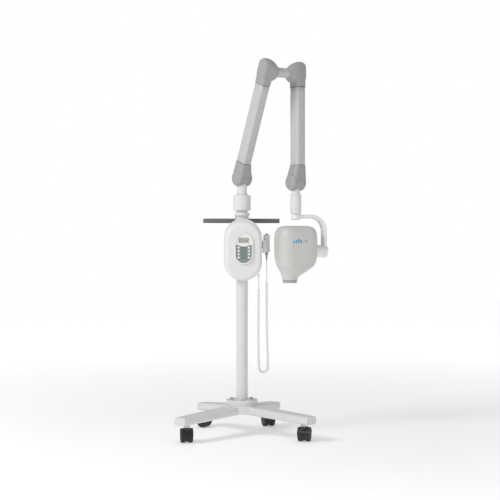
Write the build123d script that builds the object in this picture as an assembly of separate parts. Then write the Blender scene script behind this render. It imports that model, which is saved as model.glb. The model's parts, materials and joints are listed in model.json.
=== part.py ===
from build123d import *
import math
import os

# A mobile intraoral X-ray unit: a cross base on four twin-wheel castors, a column with a control box,
# a folding pair of balanced arms, and a tube head that hangs in a one-sided yoke.
# Millimetres. +Z is up and the operator stands at -Y. The origin is on the floor, under the column.

# Fits
running = 0.05  # radial clearance of a shaft in its bore
loose = 0.3  # gap between surfaces that pass each other
cut = 1.0  # how far a cutting tool runs past what it cuts

# Castors
wheel_radius = 30.0
wheel_width = 22.0
web_half = 5.5
wheel_gap = 0.5
castor_trail = 22.0
hood_radius = 34.5
hood_wall = 3.0
hood_drop = 6.0
boss_radius = 13.0
boss_low, boss_high = 56.0, 70.0
stem_radius = 5.5
stem_flange_radius = 12.0
axle_radius = 4.0
hub_dish_radius, hub_dish_depth = 18.0, 3.0
tread_round = 5.0
castor_turns = {"fl": 4.0, "fr": -18.0, "rl": 62.0, "rr": 14.0}

# Brake pedals on the two front castors
pedal_angle = 35.0
pedal_half, pedal_length, pedal_thick = 9.0, 24.0, 3.0
pedal_lift = 15.0
pedal_hub_radius, pedal_pin_radius = 3.2, 1.5
lug_radius, lug_thick = 5.5, 3.0

# Base
front_tip = (295.0, -276.0)
rear_tip = (175.0, 262.0)
castor_share = {"front": 0.888, "rear": 0.858}  # castor's place along its leg
hub_low, hub_high = 102.0, 141.0
tip_low, tip_high = 81.0, 118.0
leg_hub_width, leg_tip_width, leg_round = 92.0, 70.0, 13.0
base_hub_radius = 84.0
ballast_radius, ballast_height = 64.0, 24.0
stem_grip = 22.0

# Column
column_radius, column_wall = 27.5, 3.0
column_top = 1045.0
flange_radius, flange_height, flange_round = 74.0, 23.0, 3.0
bolt_circle, bolt_radius, bolt_head_radius, bolt_head = 55.0, 4.0, 6.5, 6.0
bolt_count = 6
housing_radius, housing_low, housing_high, housing_round = 41.0, 1050.0, 1121.0, 3.0
housing_neck_radius = 26.0
spigot_length = 45.0
swivel_shaft_radius, swivel_shaft_length = 18.0, 56.0

# Handle
bar_radius, bar_length, bar_y, bar_z, bar_round = 11.0, 362.0, 42.0, 1003.0, 2.0
clamp_low, clamp_high, clamp_radius = 1026.0, 1040.0, 36.0
ear_in, ear_out, ear_round = 31.0, 53.0, 3.0
ear_top_half = 9.0  # half the ear's depth where it leaves the ring
ear_back, ear_front, ear_back_half, ear_drop = 13.0, 8.0, 9.0, 14.0  # margins round the bar

# Control box
box_width, box_low = 174.0, 723.0
back_height, front_height, front_inset = 287.0, 277.0, 1.0
box_back, box_split, box_front = -36.0, -66.0, -126.0
shell_wall, front_round, back_round, lip_width = 3.0, 20.0, 5.0, 2.0
box_clamp_heights = (770.0, 950.0)
box_clamp_height, box_clamp_radius, box_clamp_half = 22.0, 34.0, 22.0
post_radius = 4.0
board_width, board_height, board_thick = 120.0, 180.0, 2.0
board_y = -68.0
core_size, core_x, core_drop = (56.0, 30.0, 48.0), -20.0, 45.0  # mains transformer
can_radius, can_length, can_places, can_drop = 9.0, 24.0, (24.0, 46.0), 50.0  # capacitors

# Operating panel
panel_width, panel_height, panel_z = 84.0, 143.0, 872.0
bezel_wall, bezel_rise, overlay_rise, bezel_round = 5.0, 8.0, 4.0, 1.5
split_side_z, split_middle_z = 888.0, 878.0
key_radius, key_rise, key_x, key_travel, key_round = 5.0, 5.5, 24.0, 1.5, 1.0
key_top_z, key_pitch, key_rows = 876.0, 15.2, 4

# Mains inlet with its rocker switch, on the back of the box
inlet_x, inlet_z = -58.0, 810.0
inlet_plate_half = (19.0, 33.0)
inlet_body_half = (15.0, 29.0)
inlet_plate, inlet_depth = 2.5, 24.0
socket_half, socket_depth, socket_drop = (12.4, 8.5), 18.0, 14.0
rocker_radius, rocker_half_width, rocker_half, rocker_up = 11.0, 6.0, 9.0, 15.0
rocker_axis_y, rocker_face_back = -43.0, 2.0
window_margin = 2.6  # window's height past the rocker's, for its swing

# Handset and its holder
handset_x, handset_y = 110.0, -73.0
handset_width, handset_depth, handset_low, handset_high = 29.0, 26.0, 855.0, 936.0
handset_round, handset_end_round, button_round = 6.0, 2.5, 1.5
grip_width, grip_low = 14.0, 841.0
relief_low, relief_top_radius, relief_end_radius = 819.0, 4.5, 3.0
button_radius, button_rise, button_length, button_travel = 6.5, 5.0, 14.0, 3.0
cradle_gap, cradle_wall, cradle_low, cradle_high = 0.4, 2.5, 852.0, 912.0
cradle_reach, foot_rise, foot_drop = 14.0, 20.0, 8.0

# Curly cord of the handset: a fat tube as wide as the coil, and a thin lead at each end
coil_radius, lead_radius = 7.5, 2.25
gland_x, gland_radius, gland_tip_radius, gland_top = 73.0, 5.0, 3.2, 778.0
gland_end = 736.0
cord_y = -73.0
coil_start, coil_end = 690.0, 720.0
coil_points = [
    (73.0, -73.0, 690.0), (71.0, -74.0, 560.0), (70.5, -76.0, 460.0), (71.2, -77.0, 395.0),
    (72.4, -77.5, 345.0), (74.0, -78.0, 312.0), (82.0, -78.5, 301.0), (94.0, -78.8, 297.0),
    (106.0, -78.5, 301.0), (114.0, -78.0, 312.0), (114.6, -77.5, 345.0), (113.2, -77.0, 395.0),
    (111.0, -76.0, 470.0), (109.4, -74.5, 590.0), (110.0, -73.0, 720.0),
]

# Arms. Both are built upright: the hinge line is X, and the tube is set off from the hinge's middle.
arm_turn = 30.0  # the arms' plane about the column
shoulder_z = 1203.0
lower_length, lower_lean = 520.0, 24.0
upper_length = 500.0
arm_spacing = 158.0
knuckle_radius, knuckle_half, knuckle_round = 39.0, 38.5, 15.0
tube_width, tube_depth, tube_wall, tube_round = 50.0, 66.0, 3.0, 14.0
tube_shift, tube_start = -11.0, 44.0
sleeve_wall = 2.0
knuckle_sleeve, elbow_sleeve, elbow_top = 78.0, 59.0, 58.0
elbow_face, elbow_round, elbow_lip = 47.5, 9.0, 1.5
elbow_profiles = [  # X, depth, lowest and highest point, and corner
    (-knuckle_half, 68.0, -44.0, elbow_top - 4.0, 30.0), (-8.0, 74.0, -46.0, elbow_top, 35.0),
    (18.0, 72.0, -44.0, elbow_top - 10.0, 34.0),
]
shoulder_drum_half, wrist_drum_half, drum_gap = 24.0, 21.0, 0.4
shoulder_swing, wrist_swing, slot_margin = 74.0, 110.0, 4.0  # how far each neck turns from the arm's line
trunnion_radius, trunnion_half = 8.0, 36.0
link_shaft_radius, link_sleeve_radius, link_inset = 12.0, 22.5, 20.0
crank_thick, crank_radius = 5.5, 6.0
tie_arm, tie_x, tie_half, tie_radius, tie_eye, tie_pin = 24.0, -28.5, 2.5, 2.2, 5.0, 3.0
lower_tie_angle = 49.0  # tie pins stand square to the arm at this lean
upper_tie_angle = -55.0
tie_room_radius, tie_room_x = 31.0, -32.5
spring_radius, spring_rod_radius, spring_margin, spring_pin = 9.0, 4.0, 70.0, 3.0
spring_shift, spring_body_share = 8.0, 0.55

# Swivel neck at the shoulder, and the wrist below the upper arm
neck_radius, neck_low, neck_ring_radius = 23.0, 1129.0, 28.0
wrist_neck_radius, wrist_neck_length = 20.0, 56.0
wrist_sleeve_radius, wrist_sleeve_length, wrist_sleeve_round = 25.5, 92.0, 2.0
wrist_groove, wrist_groove_drops = 1.2, (62.0, 70.0)
yoke_shaft_radius, yoke_shaft_length = 10.0, 60.0
yoke_gap = 1.5

# Yoke
head_turn = 20.0
yoke_ring_radius, yoke_ring_height = 22.0, 24.0
yoke_thick, yoke_width, yoke_round, yoke_ring_round = 17.0, 38.0, 5.0, 6.0
yoke_inner_radius, yoke_inner_x = 60.0, 138.0
tilt_z, tilt_hub_radius, tilt_hub_step, tilt_gap = 860.0, 29.5, 2.0, 1.0
tilt_shaft_length = 34.0

# Tube head. Each section is height, middle, width, depth and corner.
head_half = 92.5
head_wall = 4.0
head_sections = [
    (727.0, -30.0, 72.0, 72.0, 35.0), (740.0, -29.0, 76.0, 75.0, 36.0), (764.0, -14.0, 118.0, 104.0, 44.0),
    (790.0, -3.0, 162.0, 130.0, 48.0), (825.0, 0.0, 183.0, 140.0, 46.0), (880.0, 0.0, 185.0, 140.0, 42.0),
    (930.0, 0.0, 183.0, 138.0, 42.0), (958.0, 0.0, 172.0, 126.0, 44.0), (971.0, 0.0, 150.0, 106.0, 46.0),
    (976.0, 0.0, 118.0, 76.0, 36.0),
]
cone_x, cone_radius, cone_bore, cone_low, cone_ring_high, cone_high = -30.0, 33.0, 30.0, 713.0, 727.0, 750.0
spigot_radius = 32.0
tilt_boss_radius = 18.0
tank_radius, tank_left, tank_right, tank_z, port_radius, tank_round = 45.0, -66.0, 50.0, 868.0, 20.0, 8.0

solids = {}


def block(low, high):
    size = [b - a for a, b in zip(low, high)]
    middle = [(a + b) / 2 for a, b in zip(low, high)]
    return Pos(*middle) * Box(*size)


def post(low, high, radius, at=(0.0, 0.0)):
    return Pos(at[0], at[1], (low + high) / 2) * Cylinder(radius, high - low)


def roller(left, right, radius, at=(0.0, 0.0)):
    # A cylinder along X; at gives its axis in Y and Z.
    return Pos((left + right) / 2, at[0], at[1]) * Rot(0, 90, 0) * Cylinder(radius, right - left)


def section(width, depth, corner, middle=0.0, height=0.0):
    return Pos(middle, 0, height) * RectangleRounded(width, depth, corner)


def stadium(width, height, low, back, front):
    # An upright slot shape that stands between two planes square to Y.
    face = Plane(origin=(0, back, low + height / 2), x_dir=(1, 0, 0), z_dir=(0, -1, 0))
    return extrude(face * Rot(0, 0, 90) * SlotOverall(height, width), back - front)


def round_at(solid, y, radius):
    # Rounds the outline that lies in the plane at this Y.
    near = 0.01
    edges = []
    for edge in solid.edges():
        box = edge.bounding_box()
        if abs(box.min.Y - y) < near and abs(box.max.Y - y) < near:
            edges.append(edge)
    return fillet(edges, radius)


# Castors, each built at its own swivel axis with the wheels trailing towards +Y
def castor_hood(braked):
    axle = (castor_trail, wheel_radius)
    half = web_half + wheel_gap + wheel_width
    skirt = wheel_radius + hood_drop
    above = block((-half, -hood_radius, skirt), (half, 2 * hood_radius, boss_high + hood_radius))
    room = wheel_radius + cut
    cover = roller(-half, half, hood_radius, axle) - roller(-half, half, hood_radius - hood_wall, axle)
    cover &= above
    web = roller(-web_half, web_half, wheel_radius - 4 * cut, axle)
    web += roller(-web_half, web_half, hood_radius, axle) & above
    boss = post(boss_low, boss_high, boss_radius)
    neck = block((-web_half, -boss_radius / 2, skirt), (web_half, castor_trail, boss_low + cut))
    hood = cover + web + boss + neck
    for side in (-1, 1):
        near, far = sorted((side * web_half, side * (half + cut)))
        hood -= roller(near, far, room, axle)
    hood -= post(boss_low + 2 * cut, boss_high + cut, stem_radius + running)
    hood -= roller(-web_half - cut, web_half + cut, axle_radius + running, axle)
    if braked:
        for side in (-1, 1):
            near, far = sorted((side * (pedal_half + loose), side * (pedal_half + loose + lug_thick)))
            hood += roller(near, far, lug_radius, pedal_pivot())
        reach = pedal_half + 2 * lug_thick
        hood -= roller(-reach, reach, pedal_pin_radius + running, pedal_pivot())
    return hood


def pedal_pivot():
    reach = hood_radius + pedal_hub_radius + loose
    turn = math.radians(pedal_angle)
    return (castor_trail + reach * math.cos(turn), wheel_radius + reach * math.sin(turn))


def brake_pedal():
    y, z = pedal_pivot()
    plate = Pos(0, y, z) * Rot(pedal_lift, 0, 0) * Pos(0, pedal_length / 2, 0)
    plate = plate * Box(2 * pedal_half, pedal_length, pedal_thick)
    pin = pedal_half + loose + lug_thick
    plate += roller(-pedal_half, pedal_half, pedal_hub_radius, (y, z))
    return plate + roller(-pin, pin, pedal_pin_radius, (y, z))


def wheelset():
    axle = (castor_trail, wheel_radius)
    near = web_half + wheel_gap
    far = near + wheel_width
    wheel = roller(near, far, wheel_radius, axle)
    wheel = fillet(wheel.edges().filter_by(GeomType.CIRCLE), tread_round)
    wheel -= roller(far - hub_dish_depth, far + cut, hub_dish_radius, axle)
    return wheel + mirror(wheel, about=Plane.YZ) + roller(-near, near, axle_radius, axle)


def castor_place(corner):
    end, tip = ("front", front_tip) if corner[0] == "f" else ("rear", rear_tip)
    side = -1 if corner[1] == "l" else 1
    return side * tip[0] * castor_share[end], tip[1] * castor_share[end]


def leg_underside(corner):
    share = castor_share["front" if corner[0] == "f" else "rear"]
    return hub_low + (tip_low - hub_low) * share


def castor_stem(corner):
    x, y = castor_place(corner)
    under = leg_underside(corner)
    stem = post(boss_low + 3 * cut, under + stem_grip, stem_radius, (x, y))
    return stem + post(boss_high + loose, under - loose, stem_flange_radius, (x, y))


stems = [castor_stem(corner) for corner in castor_turns]
solids["castor_stems"] = Compound(children=stems)
for corner, turn in castor_turns.items():
    x, y = castor_place(corner)
    place = Pos(x, y, 0) * Rot(0, 0, turn)
    braked = corner[0] == "f"
    solids["castor_hood_" + corner] = place * castor_hood(braked)
    solids["wheelset_" + corner] = place * wheelset()
    if braked:
        solids["brake_pedal_" + corner] = place * brake_pedal()


# Base, ballast and column foot
def leg(x, y):
    heading = Vector(x, y, 0).normalized()
    across = Vector(-y, x, 0)
    hub = Plane(origin=(0, 0, (hub_low + hub_high) / 2), x_dir=across, z_dir=heading)
    tip = Plane(origin=(x, y, (tip_low + tip_high) / 2), x_dir=across, z_dir=heading)
    wide = hub * RectangleRounded(leg_hub_width, hub_high - hub_low, leg_round)
    narrow = tip * RectangleRounded(leg_tip_width, tip_high - tip_low, leg_round)
    return loft([wide.face(), narrow.face()], ruled=True)


base = post(hub_low, hub_high, base_hub_radius)
for tip in (front_tip, rear_tip):
    for side in (-1, 1):
        base += leg(side * tip[0], tip[1])
base -= post(tip_low, hub_low + ballast_height, ballast_radius)
for stem in stems:
    base -= stem
foot_top = hub_high + flange_height
bolt_turns = [360 * (i + 0.5) / bolt_count for i in range(bolt_count)]
bolts = []
for turn in bolt_turns:
    x = bolt_circle * math.cos(math.radians(turn))
    y = bolt_circle * math.sin(math.radians(turn))
    shank = post(hub_low + ballast_height / 2, foot_top, bolt_radius, (x, y))
    bolts.append(shank + post(foot_top, foot_top + bolt_head, bolt_head_radius, (x, y)))
flange = post(hub_high, foot_top, flange_radius)
flange = fillet(flange.edges().filter_by(GeomType.CIRCLE).sort_by(Axis.Z)[-1], flange_round)
flange -= post(hub_high - cut, foot_top + cut, column_radius)
ballast = post(hub_low, hub_low + ballast_height, ballast_radius)
for bolt in bolts:
    base -= bolt
    flange -= bolt
    ballast -= bolt
solids["base_frame"] = base
solids["counterweight"] = ballast
solids["column_flange"] = flange
solids["flange_bolts"] = Compound(children=bolts)
tube_bore = column_radius - column_wall
column = post(hub_high, column_top, column_radius)
solids["column_tube"] = column - post(hub_high - cut, column_top + cut, tube_bore)

# Bearing housing on the column's top
housing = post(housing_low, housing_high, housing_radius)
housing = fillet(housing.edges().filter_by(GeomType.CIRCLE), housing_round)
housing += post(column_top, housing_low, housing_neck_radius)
housing += post(column_top - spigot_length, column_top, tube_bore)
shaft_end = housing_high - swivel_shaft_length
housing -= post(shaft_end - loose, housing_high + cut, swivel_shaft_radius + running)
solids["bearing_housing"] = housing

# Handle: a ring on the column, an ear each side, and the cross bar behind the column
clamp = post(clamp_low, clamp_high, clamp_radius)
ear_outline = [
    (-ear_top_half, clamp_high), (ear_top_half, clamp_high), (bar_y + ear_back, bar_z + ear_back_half),
    (bar_y + ear_back, bar_z - ear_back_half), (bar_y - ear_front, bar_z - ear_drop),
    (-ear_top_half, clamp_low),
]
ear_plane = Plane(origin=(ear_in, 0, 0), x_dir=(0, 1, 0), z_dir=(1, 0, 0))
ear = extrude(ear_plane * Polygon(*ear_outline, align=None), ear_out - ear_in)
ear = fillet(ear.edges().filter_by(Axis.X), ear_round)
clamp += ear + mirror(ear, about=Plane.YZ)
clamp -= post(bar_z - ear_drop - cut, clamp_high + cut, column_radius)
bar = roller(-bar_length / 2, bar_length / 2, bar_radius, (bar_y, bar_z))
solids["handle_clamp"] = clamp - bar
solids["handle_bar"] = fillet(bar.edges().filter_by(GeomType.CIRCLE), bar_round)

# Control box: two shells held to the column by clamps
back_shell = round_at(stadium(box_width, back_height, box_low, box_back, box_split), box_back, back_round)
inner_width = box_width - 2 * shell_wall
inner_low = box_low + shell_wall
inner_height = back_height - 2 * shell_wall
back_shell -= stadium(inner_width, inner_height, inner_low, box_back - shell_wall, box_split + shell_wall)
front_width = box_width - 2 * front_inset
# The back shell stands taller than the cover, so a lip closes it round the way into the cover.
lip_inset = shell_wall + lip_width
way_in = (front_width - 2 * lip_inset, front_height - 2 * lip_inset)
back_shell -= stadium(*way_in, box_low + lip_inset, box_split + shell_wall + cut, box_split - cut)
front_cover = stadium(front_width, front_height, box_low, box_split, box_front)
front_cover = round_at(front_cover, box_front, front_round)
inner_size = (front_width - 2 * shell_wall, front_height - 2 * shell_wall)
front_room = stadium(*inner_size, inner_low, box_split + cut, box_front + shell_wall)
front_cover -= round_at(front_room, box_front + shell_wall, front_round - shell_wall)
board_middle = box_low + back_height / 2
post_x, post_z = board_width / 2 - 2 * post_radius, board_height / 2 - 2 * post_radius
post_length = box_back - shell_wall - board_y
for x in (-post_x, post_x):
    for z in (board_middle - post_z, board_middle + post_z):
        foot = Pos(x, board_y + post_length / 2, z) * Rot(90, 0, 0)
        back_shell += foot * Cylinder(post_radius, post_length)
board = Pos(0, board_y - board_thick / 2, board_middle) * Box(board_width, board_thick, board_height)
board_face = board_y - board_thick
board += Pos(core_x, board_face - core_size[1] / 2, board_middle - core_drop) * Box(*core_size)
for x in can_places:
    can = Pos(x, board_face - can_length / 2, board_middle - can_drop) * Rot(90, 0, 0)
    board += can * Cylinder(can_radius, can_length)
solids["main_board"] = board
clamps = []
for z in box_clamp_heights:
    low, high = z - box_clamp_height / 2, z + box_clamp_height / 2
    ring = post(low, high, box_clamp_radius)
    ring += block((-box_clamp_half, box_back, low), (box_clamp_half, 0, high))
    clamps.append(ring - post(low - cut, high + cut, column_radius))
solids["box_clamps"] = Compound(children=clamps)

# Mains inlet: plate and body in one, with the socket below and the rocker's window above
plate = block(
    (inlet_x - inlet_plate_half[0], box_back, inlet_z - inlet_plate_half[1]),
    (inlet_x + inlet_plate_half[0], box_back + inlet_plate, inlet_z + inlet_plate_half[1]),
)
body = block(
    (inlet_x - inlet_body_half[0], box_back - inlet_depth, inlet_z - inlet_body_half[1]),
    (inlet_x + inlet_body_half[0], box_back, inlet_z + inlet_body_half[1]),
)
socket_z = inlet_z - socket_drop
face_y = box_back + inlet_plate
socket = block(
    (inlet_x - socket_half[0], face_y - socket_depth, socket_z - socket_half[1]),
    (inlet_x + socket_half[0], face_y + cut, socket_z + socket_half[1]),
)
rocker_z = inlet_z + rocker_up
window_half = rocker_half + window_margin
window = block(
    (inlet_x - rocker_half_width - loose, rocker_axis_y - rocker_radius - cut, rocker_z - window_half),
    (inlet_x + rocker_half_width + loose, face_y + cut, rocker_z + window_half),
)
rocker_sides = (inlet_x - rocker_half_width, inlet_x + rocker_half_width)
rocker = roller(*rocker_sides, rocker_radius, (rocker_axis_y, rocker_z))
rocker &= block(
    (inlet_x - rocker_half_width, rocker_axis_y - rocker_face_back, rocker_z - rocker_half),
    (inlet_x + rocker_half_width, rocker_axis_y + rocker_radius, rocker_z + rocker_half),
)
solids["mains_inlet"] = plate + body - socket - window
solids["power_switch"] = rocker
back_shell -= body

# Operating panel on the front cover
bezel = stadium(panel_width, panel_height, panel_z - panel_height / 2, box_front, box_front - bezel_rise)
inner = (panel_width - 2 * bezel_wall, panel_height - 2 * bezel_wall, panel_z - panel_height / 2 + bezel_wall)
face = stadium(*inner, box_front, box_front - overlay_rise)
bezel -= stadium(*inner, box_front + cut, box_front - bezel_rise - cut)
split_line = [
    (-panel_width, split_side_z), (-panel_width / 3, split_side_z), (0, split_middle_z),
    (panel_width / 3, split_side_z), (panel_width, split_side_z),
]
above = [(panel_width, panel_z + panel_height), (-panel_width, panel_z + panel_height)]
upper = Plane(origin=(0, box_front + cut, 0), x_dir=(1, 0, 0), z_dir=(0, -1, 0))
upper = extrude(upper * Polygon(*split_line, *above, align=None), bezel_rise)
solids["panel_bezel"] = round_at(bezel, box_front - bezel_rise, bezel_round)
solids["display_window"] = face & upper
overlay = face - upper
for side, name in ((-1, "left"), (1, "right")):
    for row in range(key_rows):
        z = key_top_z - row * key_pitch
        turned = Pos(side * key_x, 0, z) * Rot(90, 0, 0)
        back = box_front + shell_wall - key_travel
        front = box_front - key_rise
        key = turned * Pos(0, 0, -(back + front) / 2) * Cylinder(key_radius, back - front)
        hole = turned * Pos(0, 0, -box_front) * Cylinder(key_radius + loose, 6 * bezel_rise)
        overlay -= hole
        front_cover -= hole
        solids[f"key_{name}_{row + 1}"] = round_at(key, front, key_round)
solids["keypad_overlay"] = overlay

# Handset in its cradle
half_width, half_depth = handset_width / 2, handset_depth / 2
grip = RectangleRounded(handset_width, handset_depth, handset_round)
grip = extrude(Pos(handset_x, handset_y, handset_low) * grip, handset_high - handset_low)
grip = fillet(grip.edges().group_by(Axis.Z)[-1] + grip.edges().group_by(Axis.Z)[0], handset_end_round)
grip_half = grip_width / 2
grip += block(
    (handset_x - grip_half, handset_y - grip_half, grip_low),
    (handset_x + grip_half, handset_y + grip_half, handset_low + cut),
)
relief = Cone(relief_end_radius, relief_top_radius, grip_low - relief_low)
grip += Pos(handset_x, handset_y, (relief_low + grip_low) / 2) * relief
at_handset = (handset_x, handset_y)
button_low = handset_high + button_rise - button_length
grip -= post(button_low - button_travel, handset_high + cut, button_radius + loose, at_handset)
button = post(button_low, handset_high + button_rise, button_radius, at_handset)
solids["handset_body"] = grip
solids["handset_button"] = fillet(button.edges().filter_by(GeomType.CIRCLE).sort_by(Axis.Z)[-1], button_round)

side_x = front_width / 2
inner_x = handset_x - half_width - cradle_gap
room_y = half_depth + cradle_gap
outer_y = room_y + cradle_wall
slot_half = grip_width / 2 + 2 * cradle_gap
foot_half = half_depth / 2
cradle = block(
    (inner_x - cradle_wall, handset_y - outer_y, cradle_low),
    (inner_x + cradle_reach, handset_y + outer_y, cradle_high),
)
cradle -= block(
    (inner_x, handset_y - room_y, handset_low - loose),
    (inner_x + 2 * cradle_reach, handset_y + room_y, cradle_high + cut),
)
cradle -= block(
    (handset_x - slot_half, handset_y - slot_half, cradle_low - cut),
    (inner_x + 2 * cradle_reach, handset_y + slot_half, handset_low),
)
cradle += block(
    (side_x, handset_y - foot_half, cradle_low + foot_rise),
    (inner_x - cradle_wall, handset_y + foot_half, cradle_high - foot_drop),
)
solids["handset_holder"] = cradle

# Curly cord: its route runs down from the gland, round the low bend and up to the handset
gland = Pos(gland_x, cord_y, (gland_end + gland_top) / 2)
gland = gland * Cone(gland_tip_radius, gland_radius, gland_top - gland_end)
front_cover -= gland
solids["cord_gland"] = gland


def bends(points):
    # Each arc is as large as its two runs allow.
    radii = []
    for before, here, after in zip(points, points[1:], points[2:]):
        come, go = Vector(*here) - Vector(*before), Vector(*after) - Vector(*here)
        radii.append(0.45 * min(come.length, go.length) / math.tan(math.radians(come.get_angle(go)) / 2))
    return radii


radii = bends(coil_points)
route = FilletPolyline(*coil_points, radius=radii)
coil_face = Plane(origin=route @ 0, z_dir=route % 0) * Circle(coil_radius)
coil = sweep(coil_face, path=route)
print("cord bends", [round(r, 1) for r in radii], "coil axis", round(route.length, 1))
coil_share = coil.volume / (math.pi * coil_radius**2 * route.length)
print("coil volume over section times length", round(coil_share, 4))
solids["handset_cord"] = coil
leads = [
    post(coil_start + loose, gland_end, lead_radius, (gland_x, cord_y)),
    post(coil_end + loose, relief_low - loose, lead_radius, at_handset),
]
solids["handset_leads"] = Compound(children=leads)
solids["box_back_shell"] = back_shell
solids["box_front_cover"] = front_cover


# Arms. Pieces are built with their hinge line on X and the arm upright, then put in place.
def tie_offset(lean):
    # Where the tie rod's pins stand from the hinge line, in Y and Z.
    turn = math.radians(lean)
    return tie_arm * math.cos(turn), tie_arm * math.sin(turn)


def arm_tube(length):
    height = length - 2 * tube_start
    outer = extrude(section(tube_width, tube_depth, tube_round, tube_shift, tube_start), height)
    inner = (tube_width - 2 * tube_wall, tube_depth - 2 * tube_wall, tube_round - tube_wall)
    bore = section(*inner, tube_shift, tube_start)
    return outer - extrude(bore, height)


def sleeve(low, high):
    wide, deep = tube_width + 2 * sleeve_wall, tube_depth + 2 * sleeve_wall
    return extrude(section(wide, deep, tube_round + sleeve_wall, tube_shift, low), high - low)


def tie_room(right):
    # The hollow beside the drum or crank where the tie rod's end swings, open to the tube.
    reach = tie_room_radius - 2 * cut
    room = roller(tie_room_x, right, tie_room_radius)
    return room + block((tie_room_x, -reach, 0), (right, reach, tube_start + cut))


def knuckle_cover(drum_half, neck, side, swing):
    # The neck swings out to one side, so that side's wall is open as high as the neck rises.
    hub = roller(-knuckle_half, knuckle_half, knuckle_radius)
    hub = fillet(hub.edges().filter_by(GeomType.CIRCLE), knuckle_round)
    slim = 2 * loose
    wide = section(2 * knuckle_half - slim, 2 * knuckle_radius - slim, tube_round + sleeve_wall)
    sleeve_width, sleeve_depth = tube_width + 2 * sleeve_wall, tube_depth + 2 * sleeve_wall
    top = section(sleeve_width, sleeve_depth, tube_round + sleeve_wall, tube_shift, knuckle_sleeve)
    cover = hub + loft([wide.face(), top.face()], ruled=True)
    cover -= roller(-drum_half - loose, drum_half + loose, knuckle_radius)
    cover -= extrude(section(tube_width, tube_depth, tube_round, tube_shift, tube_start), knuckle_sleeve)
    cover -= tie_room(-drum_half)
    neck_rise = math.radians(180 - swing) - math.asin(neck / knuckle_radius)
    slot_top = (knuckle_radius + slot_margin) * math.cos(neck_rise) + slot_margin / 2
    slot_near, slot_far = sorted((0.0, side * (knuckle_radius + cut)))
    slot_low = -knuckle_radius - cut
    cover -= block((-drum_half - loose, slot_near, slot_low), (drum_half + loose, slot_far, slot_top))
    return cover - roller(-trunnion_half - loose, trunnion_half + loose, trunnion_radius + running)


def elbow_cover():
    # Built with its hinge at the origin and the arm hanging below it.
    def side(x, depth, low, high, corner):
        plane = Plane(origin=(x, 0, (low + high) / 2), x_dir=(0, 1, 0), z_dir=(1, 0, 0))
        return (plane * RectangleRounded(depth, high - low, corner)).face()

    reach = link_sleeve_radius + elbow_lip
    faces = [side(*profile) for profile in elbow_profiles]
    faces.append(side(elbow_face, 2 * reach, -reach, reach, reach - loose))
    cap = loft(faces)
    cap = fillet(cap.faces().sort_by(Axis.X)[0].edges(), elbow_round)
    cover = cap + sleeve(-elbow_sleeve, 0.0)
    pocket = section(tube_width, tube_depth, tube_round, tube_shift, -elbow_sleeve - cut)
    cover -= extrude(pocket, elbow_sleeve + cut - tube_start)
    cover -= mirror(tie_room(loose - link_inset), about=Plane.XY)
    return cover - roller(-link_inset, elbow_face + cut, link_shaft_radius + running)


def gas_spring(length):
    far_end = length - spring_margin
    middle = spring_margin + spring_body_share * (far_end - spring_margin)
    at = (tube_shift + spring_shift, 0.0)
    spring = post(spring_margin, middle, spring_radius, at) + post(middle, far_end, spring_rod_radius, at)
    reach = tube_depth / 2 - tube_wall
    for height in (spring_margin + 3 * spring_pin, far_end - 2 * spring_pin):
        spring += Pos(at[0], 0, height) * Rot(90, 0, 0) * Cylinder(spring_pin, 2 * reach)
    return spring


def tie_rod(length, lean):
    y, z = tie_offset(lean)
    rod = Pos(tie_x, y, z + length / 2) * Cylinder(tie_radius, length - tie_eye)
    for end in (0.0, length):
        rod += roller(tie_x - tie_half, tie_x + tie_half, tie_eye, (y, z + end))
    for end in (0.0, length):
        rod -= roller(tie_x - cut - tie_half, tie_x + cut + tie_half, tie_pin + running, (y, z + end))
    return rod


def drum(half, lean):
    # The round block that the knuckle's cheeks close on, with its trunnions and the tie rod's pin.
    barrel = roller(-half, half, knuckle_radius - drum_gap)
    barrel += roller(-trunnion_half, trunnion_half, trunnion_radius)
    return barrel + roller(tie_x - tie_half, -half + cut, tie_pin, tie_offset(lean))


turned = Pos(0, 0, shoulder_z) * Rot(0, 0, arm_turn)
leaned = turned * Rot(lower_lean, 0, 0)
elbow_y = -lower_length * math.sin(math.radians(lower_lean))
elbow_z = lower_length * math.cos(math.radians(lower_lean))
at_elbow = turned * Pos(0, elbow_y, elbow_z)
at_wrist = turned * Pos(arm_spacing, elbow_y, elbow_z - upper_length)


def flipped(solid):
    return mirror(solid, about=Plane.YZ)


# The tie rods are stated for the arm as it stands, so the offset turns with the lean.
shoulder_cover = knuckle_cover(shoulder_drum_half, neck_radius, -1, shoulder_swing)
wrist_cover = knuckle_cover(wrist_drum_half, wrist_neck_radius, 1, wrist_swing)
solids["shoulder_cover"] = leaned * shoulder_cover
solids["lower_arm_tube"] = leaned * arm_tube(lower_length)
solids["lower_gas_spring"] = leaned * gas_spring(lower_length)
solids["lower_tie_rod"] = leaned * tie_rod(lower_length, lower_tie_angle - lower_lean)
solids["elbow_cover_lower"] = leaned * Pos(0, 0, lower_length) * elbow_cover()
solids["wrist_cover"] = at_wrist * flipped(wrist_cover)
solids["upper_arm_tube"] = at_wrist * flipped(arm_tube(upper_length))
solids["upper_gas_spring"] = at_wrist * flipped(gas_spring(upper_length))
solids["upper_tie_rod"] = at_wrist * flipped(tie_rod(upper_length, upper_tie_angle))
solids["elbow_cover_upper"] = at_wrist * Pos(0, 0, upper_length) * flipped(elbow_cover())

neck_drop = shoulder_z - neck_low
neck = drum(shoulder_drum_half, lower_tie_angle) + post(-neck_drop, -trunnion_radius, neck_radius)
ring_drop = shoulder_z - housing_high - 2 * loose
neck += post(-ring_drop, -neck_drop, neck_ring_radius)
neck += post(shaft_end - shoulder_z, -ring_drop, swivel_shaft_radius)
solids["swivel_neck"] = turned * neck


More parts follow.
